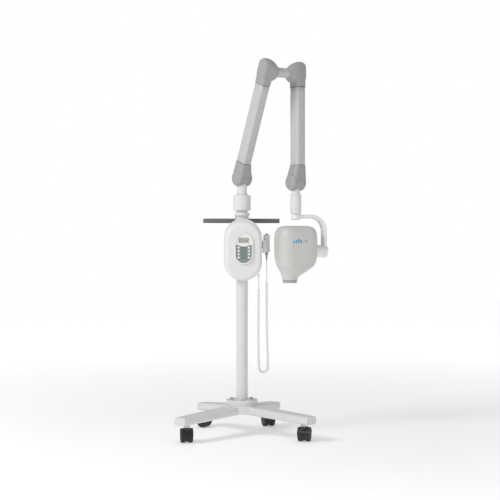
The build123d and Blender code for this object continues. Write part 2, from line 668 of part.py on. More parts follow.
def crank(lean):
    y, z = tie_offset(lean)
    left = -link_inset - crank_thick
    plate = roller(left, -link_inset, link_shaft_radius) + roller(left, -link_inset, crank_radius, (y, z))
    bar_plane = Plane(origin=(left, y / 2, z / 2), x_dir=(0, y, z), z_dir=(1, 0, 0))
    plate += extrude(bar_plane * Rectangle(tie_arm, 2 * crank_radius), crank_thick)
    return plate + roller(tie_x - tie_half, left, tie_pin, (y, z))


link = roller(-link_inset, arm_spacing + link_inset, link_shaft_radius)
link_face = elbow_face + 2 * loose
link += roller(link_face, arm_spacing - link_face, link_sleeve_radius)
link += crank(lower_tie_angle) + Pos(arm_spacing, 0, 0) * flipped(crank(upper_tie_angle))
solids["elbow_link"] = at_elbow * link

wrist = drum(wrist_drum_half, upper_tie_angle) + post(-wrist_neck_length, -trunnion_radius, wrist_neck_radius)
wrist_end = -wrist_neck_length - wrist_sleeve_length
wrist_sleeve = post(wrist_end, -wrist_neck_length, wrist_sleeve_radius)
wrist_sleeve = fillet(wrist_sleeve.edges().filter_by(GeomType.CIRCLE), wrist_sleeve_round)
for drop in wrist_groove_drops:
    groove_top = -wrist_neck_length - drop
    groove = post(groove_top - wrist_groove, groove_top, wrist_sleeve_radius + cut)
    wrist_sleeve -= groove - post(wrist_end, 0, wrist_sleeve_radius - wrist_groove)
wrist += wrist_sleeve
wrist -= post(wrist_end - cut, wrist_end + yoke_shaft_length + cut, yoke_shaft_radius + running)
solids["wrist_neck"] = at_wrist * flipped(wrist)
wrist_point = at_wrist.position
wrist_low = wrist_point.Z + wrist_end

# Yoke, in its own frame: the swivel line is Z and the tilt line is X
swivelled = Pos(wrist_point.X, wrist_point.Y, 0) * Rot(0, 0, head_turn)
ring_top = wrist_low - yoke_gap
yoke = post(ring_top - yoke_ring_height, ring_top, yoke_ring_radius)
yoke = fillet(yoke.edges().filter_by(GeomType.CIRCLE).sort_by(Axis.Z)[0], yoke_ring_round)
bend_x = yoke_inner_x - yoke_inner_radius
bend_z = ring_top - yoke_thick - yoke_inner_radius
half = yoke_width / 2
outer_radius = yoke_inner_radius + yoke_thick
quarter = Cylinder(outer_radius, yoke_width) - Cylinder(yoke_inner_radius, yoke_width)
quarter = Pos(bend_x, 0, bend_z) * Rot(90, 0, 0) * quarter
quarter &= block((bend_x, -half, bend_z), (bend_x + outer_radius, half, bend_z + outer_radius))
strap = quarter + block((0, -half, ring_top - yoke_thick), (bend_x, half, ring_top))
strap += block((yoke_inner_x, -half, tilt_z), (yoke_inner_x + yoke_thick, half, bend_z))
strap = fillet(strap.edges().filter_by(lambda e: abs(abs(e.center().Y) - half) < 0.01), yoke_round)
yoke += strap
yoke += roller(yoke_inner_x, yoke_inner_x + yoke_thick, tilt_hub_radius, (0, tilt_z))
yoke += roller(head_half + tilt_gap, yoke_inner_x, tilt_hub_radius - tilt_hub_step, (0, tilt_z))
yoke += roller(head_half - tilt_shaft_length, head_half + tilt_gap, yoke_shaft_radius, (0, tilt_z))
yoke += post(ring_top, wrist_low + yoke_shaft_length, yoke_shaft_radius)
solids["yoke"] = swivelled * yoke


# Tube head: lofted round its sections, hollow, and split front from back
def head_form(inset):
    faces = []
    for height, middle, width, depth, corner in head_sections:
        level = min(max(height, head_sections[0][0] + inset), head_sections[-1][0] - inset)
        faces.append(section(width - 2 * inset, depth - 2 * inset, corner - inset, middle, level).face())
    return loft(faces)


shell = head_form(0.0) - head_form(head_wall)
boss = roller(head_half - tilt_shaft_length, head_half - head_wall / 2, tilt_boss_radius, (0, tilt_z))
shell += boss
shaft_inner = head_half - tilt_shaft_length
shell -= roller(shaft_inner - cut, head_half + cut, yoke_shaft_radius + running, (0, tilt_z))
shell -= post(cone_ring_high - cut, cone_high + cut, spigot_radius, (cone_x, 0))
front_half = block((-2 * head_half, -head_half, cone_low), (2 * head_half, 0, ring_top))
solids["head_front_shell"] = swivelled * (shell & front_half)
solids["head_back_shell"] = swivelled * (shell - front_half)
cone = post(cone_low, cone_ring_high, cone_radius, (cone_x, 0))
cone += post(cone_ring_high, cone_high, spigot_radius, (cone_x, 0))
solids["cone"] = swivelled * (cone - post(cone_low - cut, cone_high + cut, cone_bore, (cone_x, 0)))
tank = roller(tank_left, tank_right, tank_radius, (0, tank_z))
tank = fillet(tank.edges().filter_by(GeomType.CIRCLE), tank_round)
solids["xray_tank"] = swivelled * (tank + post(cone_high + loose, tank_z, port_radius, (cone_x, 0)))

os.makedirs("parts", exist_ok=True)
for name, solid in solids.items():
    if isinstance(solid, ShapeList):
        solid = Compound(children=list(solid))
    export_step(solid, f"parts/{name}.step")
print(len(solids), "nodes; wrist at", wrist_point, "elbow at", at_elbow.position)
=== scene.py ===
import bpy
import json
import math
import numpy as np
from mathutils import Matrix, Vector


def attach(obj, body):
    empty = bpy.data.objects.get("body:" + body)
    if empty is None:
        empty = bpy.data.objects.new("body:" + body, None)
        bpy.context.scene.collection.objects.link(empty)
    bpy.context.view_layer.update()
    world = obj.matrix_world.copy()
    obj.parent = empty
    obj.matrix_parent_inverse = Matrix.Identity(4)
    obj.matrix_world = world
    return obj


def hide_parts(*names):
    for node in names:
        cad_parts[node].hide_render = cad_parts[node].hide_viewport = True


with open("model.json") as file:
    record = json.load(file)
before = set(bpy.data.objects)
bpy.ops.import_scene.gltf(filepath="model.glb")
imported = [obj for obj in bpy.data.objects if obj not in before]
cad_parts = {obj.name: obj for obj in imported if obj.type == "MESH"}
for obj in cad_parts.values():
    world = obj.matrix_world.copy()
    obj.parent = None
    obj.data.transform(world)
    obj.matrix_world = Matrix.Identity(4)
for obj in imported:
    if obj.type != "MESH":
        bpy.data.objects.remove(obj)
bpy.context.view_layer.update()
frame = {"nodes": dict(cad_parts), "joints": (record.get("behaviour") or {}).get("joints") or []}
nodes = frame["nodes"]
joints = {joint["name"]: joint for joint in frame["joints"]}
scene = bpy.context.scene
mm = 0.001
print("frame loaded:", len(nodes), "nodes")


# ---- meshes from numpy grids ----
def meshPiece(name, points, faces, material, smooth=True):
    mesh = bpy.data.meshes.new(name)
    mesh.from_pydata(np.asarray(points, float).reshape(-1, 3).tolist(), [], np.asarray(faces).tolist())
    mesh.validate()
    mesh.polygons.foreach_set("use_smooth", [smooth] * len(mesh.polygons))
    mesh.update()
    piece = bpy.data.objects.new(name, mesh)
    scene.collection.objects.link(piece)
    mesh.materials.append(material)
    return piece


def gridFaces(rows, columns, closed=True):
    # quads between neighbouring grid points; the columns join up when the rows are rings
    across = columns if closed else columns - 1
    i, j = np.meshgrid(np.arange(rows - 1), np.arange(across), indexing="ij")
    k = (j + 1) % columns
    quads = np.stack([i * columns + j, i * columns + k, (i + 1) * columns + k, (i + 1) * columns + j], -1)
    return quads.reshape(-1, 4)


def ringSurface(name, rings, material, capLow=True, capHigh=True, smooth=True):
    # rings is rows x columns x 3; each row is a closed loop and the end rows close on their middle points
    rings = np.asarray(rings, float)
    rows, columns = rings.shape[:2]
    points = rings.reshape(-1, 3)
    faces = gridFaces(rows, columns).tolist()
    j = np.arange(columns)
    if capLow:
        points = np.vstack([points, rings[0].mean(0)])
        faces += np.stack([(j + 1) % columns, j, np.full(columns, len(points) - 1)], -1).tolist()
    if capHigh:
        points = np.vstack([points, rings[-1].mean(0)])
        last = (rows - 1) * columns
        faces += np.stack([last + j, last + (j + 1) % columns, np.full(columns, len(points) - 1)], -1).tolist()
    mesh = bpy.data.meshes.new(name)
    mesh.from_pydata(points.tolist(), [], faces)
    mesh.polygons.foreach_set("use_smooth", [smooth] * len(mesh.polygons))
    mesh.update()
    piece = bpy.data.objects.new(name, mesh)
    scene.collection.objects.link(piece)
    mesh.materials.append(material)
    return piece


def turnedRings(profile, columns=64):
    # a lathe: each profile point is a radius and a height, carried round the Z axis
    profile = np.asarray(profile, float)
    turn = np.linspace(0, 2 * math.pi, columns, endpoint=False)
    radius, height = profile[:, :1], profile[:, 1:2]
    return np.stack([radius * np.cos(turn), radius * np.sin(turn), height + 0 * turn], -1)


def superRing(halfWide, halfDeep, power, columns=96):
    # a superellipse: |x/a|^n + |y/b|^n = 1, walked by its angle
    turn = np.linspace(0, 2 * math.pi, columns, endpoint=False)
    c, s = np.cos(turn), np.sin(turn)
    x = halfWide * np.sign(c) * np.abs(c) ** (2 / power)
    y = halfDeep * np.sign(s) * np.abs(s) ** (2 / power)
    return np.stack([x, y], -1)


def place(piece, matrix):
    # the finished piece stays at the origin, so its place goes into the mesh
    piece.data.transform(matrix)
    piece.data.update()
    return piece


def wrapFaces(rows, columns):
    # joins the last ring of a closed tube back to its first
    j = np.arange(columns)
    k = (j + 1) % columns
    last = (rows - 1) * columns
    return np.stack([last + j, last + k, k, j], -1)


def turnZ(degrees):
    return Matrix.Rotation(math.radians(degrees), 4, "Z")


def finishPiece(piece, body, replaced=()):
    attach(piece, body)
    if replaced:
        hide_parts(*replaced)
    return piece


# ---- shared shader groups ----
def newGroup(name, inputs, outputs):
    group = bpy.data.node_groups.new(name, "ShaderNodeTree")
    for label, kind, value in inputs:
        socket = group.interface.new_socket(name=label, in_out="INPUT", socket_type=kind)
        socket.default_value = value
    for label, kind in outputs:
        group.interface.new_socket(name=label, in_out="OUTPUT", socket_type=kind)
    return group, group.nodes.new("NodeGroupInput"), group.nodes.new("NodeGroupOutput")


def addNode(tree, kind, **settings):
    node = tree.nodes.new(kind)
    for key, value in settings.items():
        if key in node.inputs:
            node.inputs[key].default_value = value
        else:
            setattr(node, key, value)
    return node


def mapped(tree, links, node, low, high):
    # stretches a value from low..high to 0..1
    ranged = tree.nodes.new("ShaderNodeMapRange")
    ranged.inputs["From Min"].default_value = low
    ranged.inputs["From Max"].default_value = high
    links.new(node, ranged.inputs["Value"])
    return ranged.outputs["Result"]


floatType, colorType = "NodeSocketFloat", "NodeSocketColor"


def makeFinishGroup():
    # colour drifts between two tones over broad clouds, with fine specks; roughness follows the clouds,
    # and height is a fine orange-peel or spark grain
    group, given, out = newGroup(
        "mouldedFinish",
        [("Tone", colorType, (0.8, 0.8, 0.8, 1)), ("Worn Tone", colorType, (0.7, 0.7, 0.7, 1)), ("Cloud Scale", floatType, 6.0),
         ("Cloud Amount", floatType, 0.5), ("Speck Amount", floatType, 0.2), ("Grain Scale", floatType, 900.0),
         ("Rough Low", floatType, 0.3), ("Rough High", floatType, 0.45)],
        [("Color", colorType), ("Roughness", floatType), ("Grain", floatType)])
    links = group.links
    coords = group.nodes.new("ShaderNodeTexCoord")
    clouds = addNode(group, "ShaderNodeTexNoise", Detail=4.0, Roughness=0.55)
    specks = addNode(group, "ShaderNodeTexNoise", Scale=260.0, Detail=2.0)
    grain = addNode(group, "ShaderNodeTexNoise", Detail=3.0, Roughness=0.6)
    for texture in (clouds, specks, grain):
        links.new(coords.outputs["Object"], texture.inputs["Vector"])
    links.new(given.outputs["Cloud Scale"], clouds.inputs["Scale"])
    links.new(given.outputs["Grain Scale"], grain.inputs["Scale"])
    cloudMask = mapped(group, links, clouds.outputs["Fac"], 0.42, 0.72)
    speckMask = mapped(group, links, specks.outputs["Fac"], 0.66, 0.74)
    cloudPart = addNode(group, "ShaderNodeMath", operation="MULTIPLY")
    links.new(cloudMask, cloudPart.inputs[0])
    links.new(given.outputs["Cloud Amount"], cloudPart.inputs[1])
    speckPart = addNode(group, "ShaderNodeMath", operation="MULTIPLY")
    links.new(speckMask, speckPart.inputs[0])
    links.new(given.outputs["Speck Amount"], speckPart.inputs[1])
    both = addNode(group, "ShaderNodeMath", operation="MAXIMUM")
    links.new(cloudPart.outputs[0], both.inputs[0])
    links.new(speckPart.outputs[0], both.inputs[1])
    tones = addNode(group, "ShaderNodeMix", data_type="RGBA")
    links.new(both.outputs[0], tones.inputs["Factor"])
    links.new(given.outputs["Tone"], tones.inputs[6])
    links.new(given.outputs["Worn Tone"], tones.inputs[7])
    rough = addNode(group, "ShaderNodeMapRange")
    links.new(cloudMask, rough.inputs["Value"])
    links.new(given.outputs["Rough Low"], rough.inputs["To Min"])
    links.new(given.outputs["Rough High"], rough.inputs["To Max"])
    links.new(tones.outputs[2], out.inputs["Color"])
    links.new(rough.outputs["Result"], out.inputs["Roughness"])
    links.new(grain.outputs["Fac"], out.inputs["Grain"])
    return group


def makeDustGroup():
    # dust settles on what faces up: the normal's Z times a broken noise
    group, given, out = newGroup(
        "settledDust", [("Color", colorType, (0.8, 0.8, 0.8, 1)), ("Dust", colorType, (0.6, 0.59, 0.57, 1)), ("Amount", floatType, 0.15)],
        [("Color", colorType), ("Mask", floatType)])
    links = group.links
    geometry = group.nodes.new("ShaderNodeNewGeometry")
    split = group.nodes.new("ShaderNodeSeparateXYZ")
    links.new(geometry.outputs["Normal"], split.inputs[0])
    coords = group.nodes.new("ShaderNodeTexCoord")
    noise = addNode(group, "ShaderNodeTexNoise", Scale=38.0, Detail=5.0, Roughness=0.65)
    links.new(coords.outputs["Object"], noise.inputs["Vector"])
    facing = mapped(group, links, split.outputs["Z"], 0.35, 1.0)
    broken = mapped(group, links, noise.outputs["Fac"], 0.4, 0.7)
    mask = addNode(group, "ShaderNodeMath", operation="MULTIPLY")
    links.new(facing, mask.inputs[0])
    links.new(broken, mask.inputs[1])
    amount = addNode(group, "ShaderNodeMath", operation="MULTIPLY")
    links.new(mask.outputs[0], amount.inputs[0])
    links.new(given.outputs["Amount"], amount.inputs[1])
    tones = addNode(group, "ShaderNodeMix", data_type="RGBA")
    links.new(amount.outputs[0], tones.inputs["Factor"])
    links.new(given.outputs["Color"], tones.inputs[6])
    links.new(given.outputs["Dust"], tones.inputs[7])
    links.new(tones.outputs[2], out.inputs["Color"])
    links.new(amount.outputs[0], out.inputs["Mask"])
    return group


finishGroup, dustGroup = makeFinishGroup(), makeDustGroup()

# each finish: tone, worn tone, roughness range, grain scale and depth, cloud and speck amounts, metal, coat
finishes = {
    "whitePaint": dict(tone=(0.68, 0.68, 0.675), worn=(0.61, 0.61, 0.605), rough=(0.26, 0.36), grain=420, depth=0.05, coat=0.25, dust=0.12),
    "whitePlastic": dict(tone=(0.80, 0.80, 0.79), worn=(0.72, 0.72, 0.71), rough=(0.30, 0.42), grain=1100, depth=0.03, coat=0.1, dust=0.08),
    "lightPlastic": dict(tone=(0.74, 0.74, 0.735), worn=(0.61, 0.61, 0.60), rough=(0.36, 0.48), grain=1300, depth=0.04, dust=0.08),
    "headPlastic": dict(tone=(0.56, 0.555, 0.54), worn=(0.49, 0.485, 0.47), rough=(0.34, 0.46), grain=1200, depth=0.04, dust=0.1),
    "armPaint": dict(tone=(0.49, 0.49, 0.49), worn=(0.43, 0.43, 0.43), rough=(0.30, 0.42), grain=600, depth=0.05, dust=0.06),
    "coverGrey": dict(tone=(0.335, 0.335, 0.34), worn=(0.28, 0.28, 0.285), rough=(0.42, 0.56), grain=1300, depth=0.07, dust=0.12),
    "gripRubber": dict(tone=(0.145, 0.145, 0.15), worn=(0.13, 0.13, 0.135), rough=(0.5, 0.68), grain=1500, depth=0.12, dust=0.15),
    "castorBlack": dict(tone=(0.012, 0.012, 0.013), worn=(0.03, 0.03, 0.03), rough=(0.3, 0.5), grain=1200, depth=0.06, dust=0.14),
    "tyreBlack": dict(tone=(0.018, 0.018, 0.018), worn=(0.06, 0.058, 0.055), rough=(0.6, 0.8), grain=700, depth=0.14, cloud=0.8, dust=0.2),
    "steel": dict(tone=(0.52, 0.52, 0.53), worn=(0.38, 0.38, 0.39), rough=(0.25, 0.42), grain=500, depth=0.03, metal=1.0, dust=0.05),
    "keypadFilm": dict(tone=(0.215, 0.25, 0.235), worn=(0.25, 0.285, 0.27), rough=(0.38, 0.5), grain=1600, depth=0.05, dust=0.0),
    "lcdGlass": dict(tone=(0.50, 0.53, 0.48), worn=(0.46, 0.49, 0.44), rough=(0.10, 0.16), grain=300, depth=0.0, coat=0.6, dust=0.0),
    "handsetShell": dict(tone=(0.60, 0.60, 0.60), worn=(0.52, 0.52, 0.52), rough=(0.36, 0.48), grain=1300, depth=0.05, dust=0.06),
    "lcdGreen": dict(tone=(0.16, 0.215, 0.19), worn=(0.18, 0.235, 0.21), rough=(0.12, 0.18), grain=300, depth=0.0, coat=0.8, dust=0.0),
    "keyWhite": dict(tone=(0.80, 0.80, 0.79), worn=(0.68, 0.68, 0.67), rough=(0.42, 0.55), grain=1200, depth=0.04, dust=0.0),
    "boardGreen": dict(tone=(0.03, 0.14, 0.07), worn=(0.05, 0.18, 0.09), rough=(0.3, 0.45), grain=300, depth=0.1, dust=0.1),
    "blackGloss": dict(tone=(0.012, 0.012, 0.013), worn=(0.02, 0.02, 0.02), rough=(0.16, 0.26), grain=900, depth=0.02, coat=0.4, dust=0.05),
    "cordWhite": dict(tone=(0.80, 0.80, 0.79), worn=(0.70, 0.70, 0.68), rough=(0.38, 0.52), grain=1500, depth=0.05, dust=0.05),
    "coneGrey": dict(tone=(0.36, 0.36, 0.36), worn=(0.30, 0.30, 0.30), rough=(0.36, 0.5), grain=1200, depth=0.06, dust=0.05),
    "studioPaper": dict(tone=(0.86, 0.86, 0.86), worn=(0.84, 0.84, 0.84), rough=(0.6, 0.75), grain=90, depth=0.0, speck=0.0, dust=0.0),
    "markBlue": dict(tone=(0.07, 0.30, 0.47), worn=(0.10, 0.36, 0.53), rough=(0.3, 0.4), grain=1200, depth=0.02, dust=0.0),
}


def makeMaterial(name, look):
    material = bpy.data.materials.new(name)
    material.use_nodes = True
    tree = material.node_tree
    shader = tree.nodes["Principled BSDF"]
    finish = tree.nodes.new("ShaderNodeGroup")
    finish.node_tree = finishGroup
    finish.inputs["Tone"].default_value = (*look["tone"], 1)
    finish.inputs["Worn Tone"].default_value = (*look["worn"], 1)
    finish.inputs["Rough Low"].default_value, finish.inputs["Rough High"].default_value = look["rough"]
    finish.inputs["Grain Scale"].default_value = look["grain"]
    finish.inputs["Cloud Amount"].default_value = look.get("cloud", 0.45)
    finish.inputs["Speck Amount"].default_value = look.get("speck", 0.12)
    dust = tree.nodes.new("ShaderNodeGroup")
    dust.node_tree = dustGroup
    dust.inputs["Amount"].default_value = look["dust"]
    tree.links.new(finish.outputs["Color"], dust.inputs["Color"])
    tree.links.new(dust.outputs["Color"], shader.inputs["Base Color"])
    tree.links.new(finish.outputs["Roughness"], shader.inputs["Roughness"])
    bump = tree.nodes.new("ShaderNodeBump")
    bump.inputs["Strength"].default_value = 0.35
    bump.inputs["Distance"].default_value = look["depth"] * mm
    tree.links.new(finish.outputs["Grain"], bump.inputs["Height"])
    tree.links.new(bump.outputs["Normal"], shader.inputs["Normal"])
    shader.inputs["Metallic"].default_value = look.get("metal", 0.0)
    shader.inputs["Coat Weight"].default_value = look.get("coat", 0.0)
    shader.inputs["Coat Roughness"].default_value = 0.12
    return material


materials = {name: makeMaterial(name, look) for name, look in finishes.items()}
print("materials made:", len(materials))

nodeFinish = {
    "whitePaint": ["base_frame", "column_flange", "column_tube", "bearing_housing", "handle_clamp", "swivel_neck", "wrist_neck"],
    "whitePlastic": ["box_back_shell", "display_window", "panel_bezel", "yoke"],
    "lightPlastic": ["box_front_cover", "handset_body", "handset_holder", "cord_gland"],
    "headPlastic": ["head_front_shell", "head_back_shell"],
    "armPaint": ["lower_arm_tube", "upper_arm_tube", "elbow_link"],
    "coverGrey": ["shoulder_cover", "elbow_cover_lower", "elbow_cover_upper", "wrist_cover"],
    "gripRubber": ["handle_bar", "handset_button"],
    "steel": ["flange_bolts", "castor_stems", "counterweight", "box_clamps", "lower_gas_spring", "upper_gas_spring",
              "lower_tie_rod", "upper_tie_rod", "xray_tank"],
    "keypadFilm": ["keypad_overlay"],
    "boardGreen": ["main_board"],
    "blackGloss": ["mains_inlet", "power_switch"],
    "cordWhite": ["handset_cord", "handset_leads"],
    "coneGrey": ["cone"],
    "keyWhite": [name for name in nodes if name.startswith("key_")],
    "castorBlack": [name for name in nodes if name.startswith(("castor_hood", "brake_pedal"))],
    "tyreBlack": [name for name in nodes if name.startswith("wheelset")],
}
for finishName, members in nodeFinish.items():
    for member in members:
        mesh = nodes[member].data
        mesh.materials.clear()
        mesh.materials.append(materials[finishName])
print("carried-over nodes finished")

# ---- curly handset cord ----
curlyCord = dict(
    wireRadius=2.25 * mm, helixRadius=5.2 * mm, pitch=9.3 * mm, pointsPerTurn=14,
    leadIn=0.046, leadOut=0.0985, fade=0.011, length=3.05)
# the hanging loop: down from the gland, round the bottom and up to the handset
cordRoute = np.array([
    (73, -73, 736), (73, -73, 690), (71, -74, 560), (70.5, -76, 460), (71.2, -77, 395), (72.4, -77.5, 345),
    (74, -78, 312), (82, -78.5, 301), (94, -78.8, 297), (106, -78.5, 301), (114, -78, 312), (114.6, -77.5, 345),
    (113.2, -77, 395), (111, -76, 470), (109.4, -74.5, 590), (110, -73, 720), (110, -73, 818.7)]) * mm


def nurbsCurve(name, points):
    curve = bpy.data.curves.new(name, "CURVE")
    curve.dimensions = "3D"
    spline = curve.splines.new("NURBS")
    spline.points.add(len(points) - 1)
    spline.points.foreach_set("co", np.column_stack([points, np.ones(len(points))]).ravel())
    spline.order_u = 3
    spline.use_endpoint_u = True
    return curve


def curveLine(curve):
    # the evaluated points of a curve without a bevel, in order
    holder = bpy.data.objects.new("lineReader", curve)
    mesh = bpy.data.meshes.new_from_object(holder)
    line = np.empty(len(mesh.vertices) * 3)
    mesh.vertices.foreach_get("co", line)
    bpy.data.objects.remove(holder)
    bpy.data.meshes.remove(mesh)
    return line.reshape(-1, 3)


def evenLine(line, step):
    # the same line at even arc lengths, with its tangent
    reach = np.concatenate([[0], np.cumsum(np.linalg.norm(np.diff(line, axis=0), axis=1))])
    along = np.linspace(0, reach[-1], max(2, int(reach[-1] / step)))
    even = np.column_stack([np.interp(along, reach, line[:, axis]) for axis in range(3)])
    tangent = np.gradient(even, axis=0)
    return even, tangent / np.linalg.norm(tangent, axis=1)[:, None], along


def makeCurlyCord():
    route = nurbsCurve("cordRoute", cordRoute)
    route.resolution_u = 24
    middle, tangent, along = evenLine(curveLine(route), 0.3 * mm)
    span = along[-1]
    # pitch opens by a tenth towards the top of each strand, where the weight below stretches it
    height = (middle[:, 2] - middle[:, 2].min()) / np.ptp(middle[:, 2])
    pitch = curlyCord["pitch"] * (0.93 + 0.16 * height + 0.03 * np.sin(along * 23.0))
    turn = np.concatenate([[0], np.cumsum(np.diff(along) / pitch[1:])]) * 2 * math.pi
    # radius rises from none at the straight leads: a smoothstep of the distance past each lead
    rise = np.clip((along - curlyCord["leadIn"]) / curlyCord["fade"], 0, 1)
    fall = np.clip((span - curlyCord["leadOut"] - along) / curlyCord["fade"], 0, 1)
    radius = curlyCord["helixRadius"] * (rise * rise * (3 - 2 * rise)) * (fall * fall * (3 - 2 * fall))
    across = np.array([0.0, 1.0, 0.0]) - tangent * tangent[:, 1:2]
    across /= np.linalg.norm(across, axis=1)[:, None]
    upward = np.cross(tangent, across)
    coil = middle + radius[:, None] * (np.cos(turn)[:, None] * across + np.sin(turn)[:, None] * upward)
    # even steps of turn, with the two ends kept exactly
    steps = np.linspace(0, turn[-1], int(turn[-1] / (2 * math.pi) * curlyCord["pointsPerTurn"]))
    points = np.column_stack([np.interp(steps, turn, coil[:, axis]) for axis in range(3)])
    curve = nurbsCurve("handsetCurlyCord", points)
    curve.resolution_u = 3
    curve.bevel_depth = curlyCord["wireRadius"]
    curve.bevel_resolution = 3
    curve.use_fill_caps = True
    curve.materials.append(materials["cordWhite"])
    cord = bpy.data.objects.new("handsetCurlyCord", curve)
    scene.collection.objects.link(cord)
    drawn = np.linalg.norm(np.diff(points, axis=0), axis=1).sum()
    print("curly cord:", len(points), "points,", round(float(turn[-1] / 2 / math.pi), 1), "turns,", round(float(drawn), 3), "m")
    return cord


handsetCurlyCord = makeCurlyCord()
# ---- arm frames, worked out from the record's joints ----
armTurn, lowerLean, headTurn = 30.0, 24.0, 20.0
shoulderPoint = Vector(joints["shoulder"]["pos_m"])
armLengths = dict(lower=520 * mm, upper=500 * mm, spacing=158 * mm)
atShoulder = Matrix.Translation(shoulderPoint) @ turnZ(armTurn)
atLowerArm = atShoulder @ Matrix.Rotation(math.radians(lowerLean), 4, "X")
atElbow = atShoulder @ Matrix.Translation((
    0, -armLengths["lower"] * math.sin(math.radians(lowerLean)), armLengths["lower"] * math.cos(math.radians(lowerLean))))
atWrist = atElbow @ Matrix.Translation((armLengths["spacing"], 0, -armLengths["upper"]))
wristPoint = atWrist.translation
atHead = Matrix.Translation((wristPoint.x, wristPoint.y, 0)) @ turnZ(headTurn)
mirrorX = Matrix.Scale(-1, 4, (1, 0, 0))
alongX = Matrix.Rotation(math.radians(90), 4, "Y")


def roundedProfile(profile, radius, steps=4):
    # rounds each inner corner of a lathe profile by a quadratic curve that starts and ends `radius` away
    profile = np.asarray(profile, float)
    before, corner, after = profile[:-2], profile[1:-1], profile[2:]
    back, ahead = before - corner, after - corner
    backLength = np.linalg.norm(back, axis=1, keepdims=True)
    aheadLength = np.linalg.norm(ahead, axis=1, keepdims=True)
    cut = np.minimum(radius, 0.45 * np.minimum(backLength, aheadLength))
    start, end = corner + back / backLength * cut, corner + ahead / aheadLength * cut
    t = np.linspace(0, 1, steps)[None, :, None]
    curve = (1 - t) ** 2 * start[:, None] + 2 * t * (1 - t) * corner[:, None] + t ** 2 * end[:, None]
    return np.vstack([profile[:1], curve.reshape(-1, 2), profile[-1:]])


def lathe(name, profile, material, matrix=Matrix(), columns=64, soften=0.8 * mm):
    # a turned piece: the profile's radius and height, its corners softened, carried round the axis
    rings = turnedRings(roundedProfile(profile, soften), columns)
    return place(ringSurface(name, rings, materials[material]), matrix)


def outwards(piece):
    # a closed mesh whose signed volume is below nothing has its faces turned round
    mesh = piece.data
    mesh.calc_loop_triangles()
    corners = np.empty(len(mesh.loop_triangles) * 3, np.int32)
    mesh.loop_triangles.foreach_get("vertices", corners)
    points = np.empty(len(mesh.vertices) * 3)
    mesh.vertices.foreach_get("co", points)
    a, b, c = points.reshape(-1, 3)[corners.reshape(-1, 3)].transpose(1, 0, 2)
    if np.einsum("ij,ij->i", a, np.cross(b, c)).sum() < 0:
        mesh.flip_normals()
    return piece


def roundedRing(halfWide, halfDeep, corner, perCorner=10, perSide=2):
    # the outline of a rounded rectangle, counter-clockwise; the sizes may be arrays, one value a row
    halfWide, halfDeep, corner = (np.atleast_1d(np.asarray(v, float))[:, None] for v in (halfWide, halfDeep, corner))
    arcs = np.linspace(0, math.pi / 2, perCorner)
    x, y = [], []
    for quarter, (sx, sy) in enumerate(((1, 1), (-1, 1), (-1, -1), (1, -1))):
        turn = arcs + quarter * math.pi / 2
        x.append(sx * (halfWide - corner) + corner * np.cos(turn))
        y.append(sy * (halfDeep - corner) + corner * np.sin(turn))
    return np.stack([np.hstack(x), np.hstack(y)], -1)


def stackedRings(outline, heights, shift=(0, 0)):
    # outline rows x columns x 2 lifted to their heights
    z = np.broadcast_to(np.asarray(heights, float)[:, None, None], outline.shape[:2] + (1,))
    return np.concatenate([outline + np.asarray(shift, float), z], -1)


# ---- shoulder and wrist necks: a grey round block that the knuckle closes on, and a white turned neck ----
neckSizes = dict(drumRadius=38.6, shoulderHalf=23.9, wristHalf=20.9)


def makeDrum(name, half, matrix, body):
    radius = neckSizes["drumRadius"]
    profile = np.array([(0.01, -half), (radius, -half), (radius, half), (0.01, half)]) * mm
    piece = lathe(name, profile, "coverGrey", matrix @ alongX, columns=96, soften=1.0 * mm)
    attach(outwards(piece), body)
    return piece


swivelNeckProfile = [(0.01, -82), (27.4, -82), (28, -81.4), (28, -76), (26.4, -74.6), (24.2, -74.2), (23.4, -72), (23.4, -66),
                     (22.9, -65), (22.9, -55), (23.4, -54), (23.4, -20), (0.01, -20)]
swivelNeck = lathe("swivelNeck", np.array(swivelNeckProfile) * mm, "whitePaint", atShoulder, soften=0.5 * mm)
makeDrum("shoulderDrum", neckSizes["shoulderHalf"], atShoulder, "swivel")
finishPiece(outwards(swivelNeck), "swivel", ["swivel_neck"])

wristNeckProfile = [
    (10.2, -147.8), (24.2, -147.8), (25.5, -146.2), (25.5, -127.4), (24.4, -127.0), (24.4, -126.0), (25.5, -125.6),
    (25.5, -119.4), (24.4, -119.0), (24.4, -118.0), (25.5, -117.6), (25.5, -66.4), (24.6, -66.0), (24.6, -65.2),
    (25.5, -64.8), (25.5, -58.0), (23.6, -56.0), (20.2, -55.6), (20.0, -20), (0.01, -20)]
wristNeck = lathe("wristNeck", np.array(wristNeckProfile) * mm, "whitePaint", atWrist, soften=0.4 * mm)
makeDrum("wristDrum", neckSizes["wristHalf"], atWrist, "wrist")
finishPiece(outwards(wristNeck), "wrist", ["wrist_neck"])
print("necks made")

# ---- arm tubes: a rounded box section with two sunk flutes on its front and back ----
tube = dict(halfWide=25, halfDeep=33, corner=14, start=44.5, shift=-11, fluteHalf=1.1, fluteDepth=0.9, fluteAt=9.0)


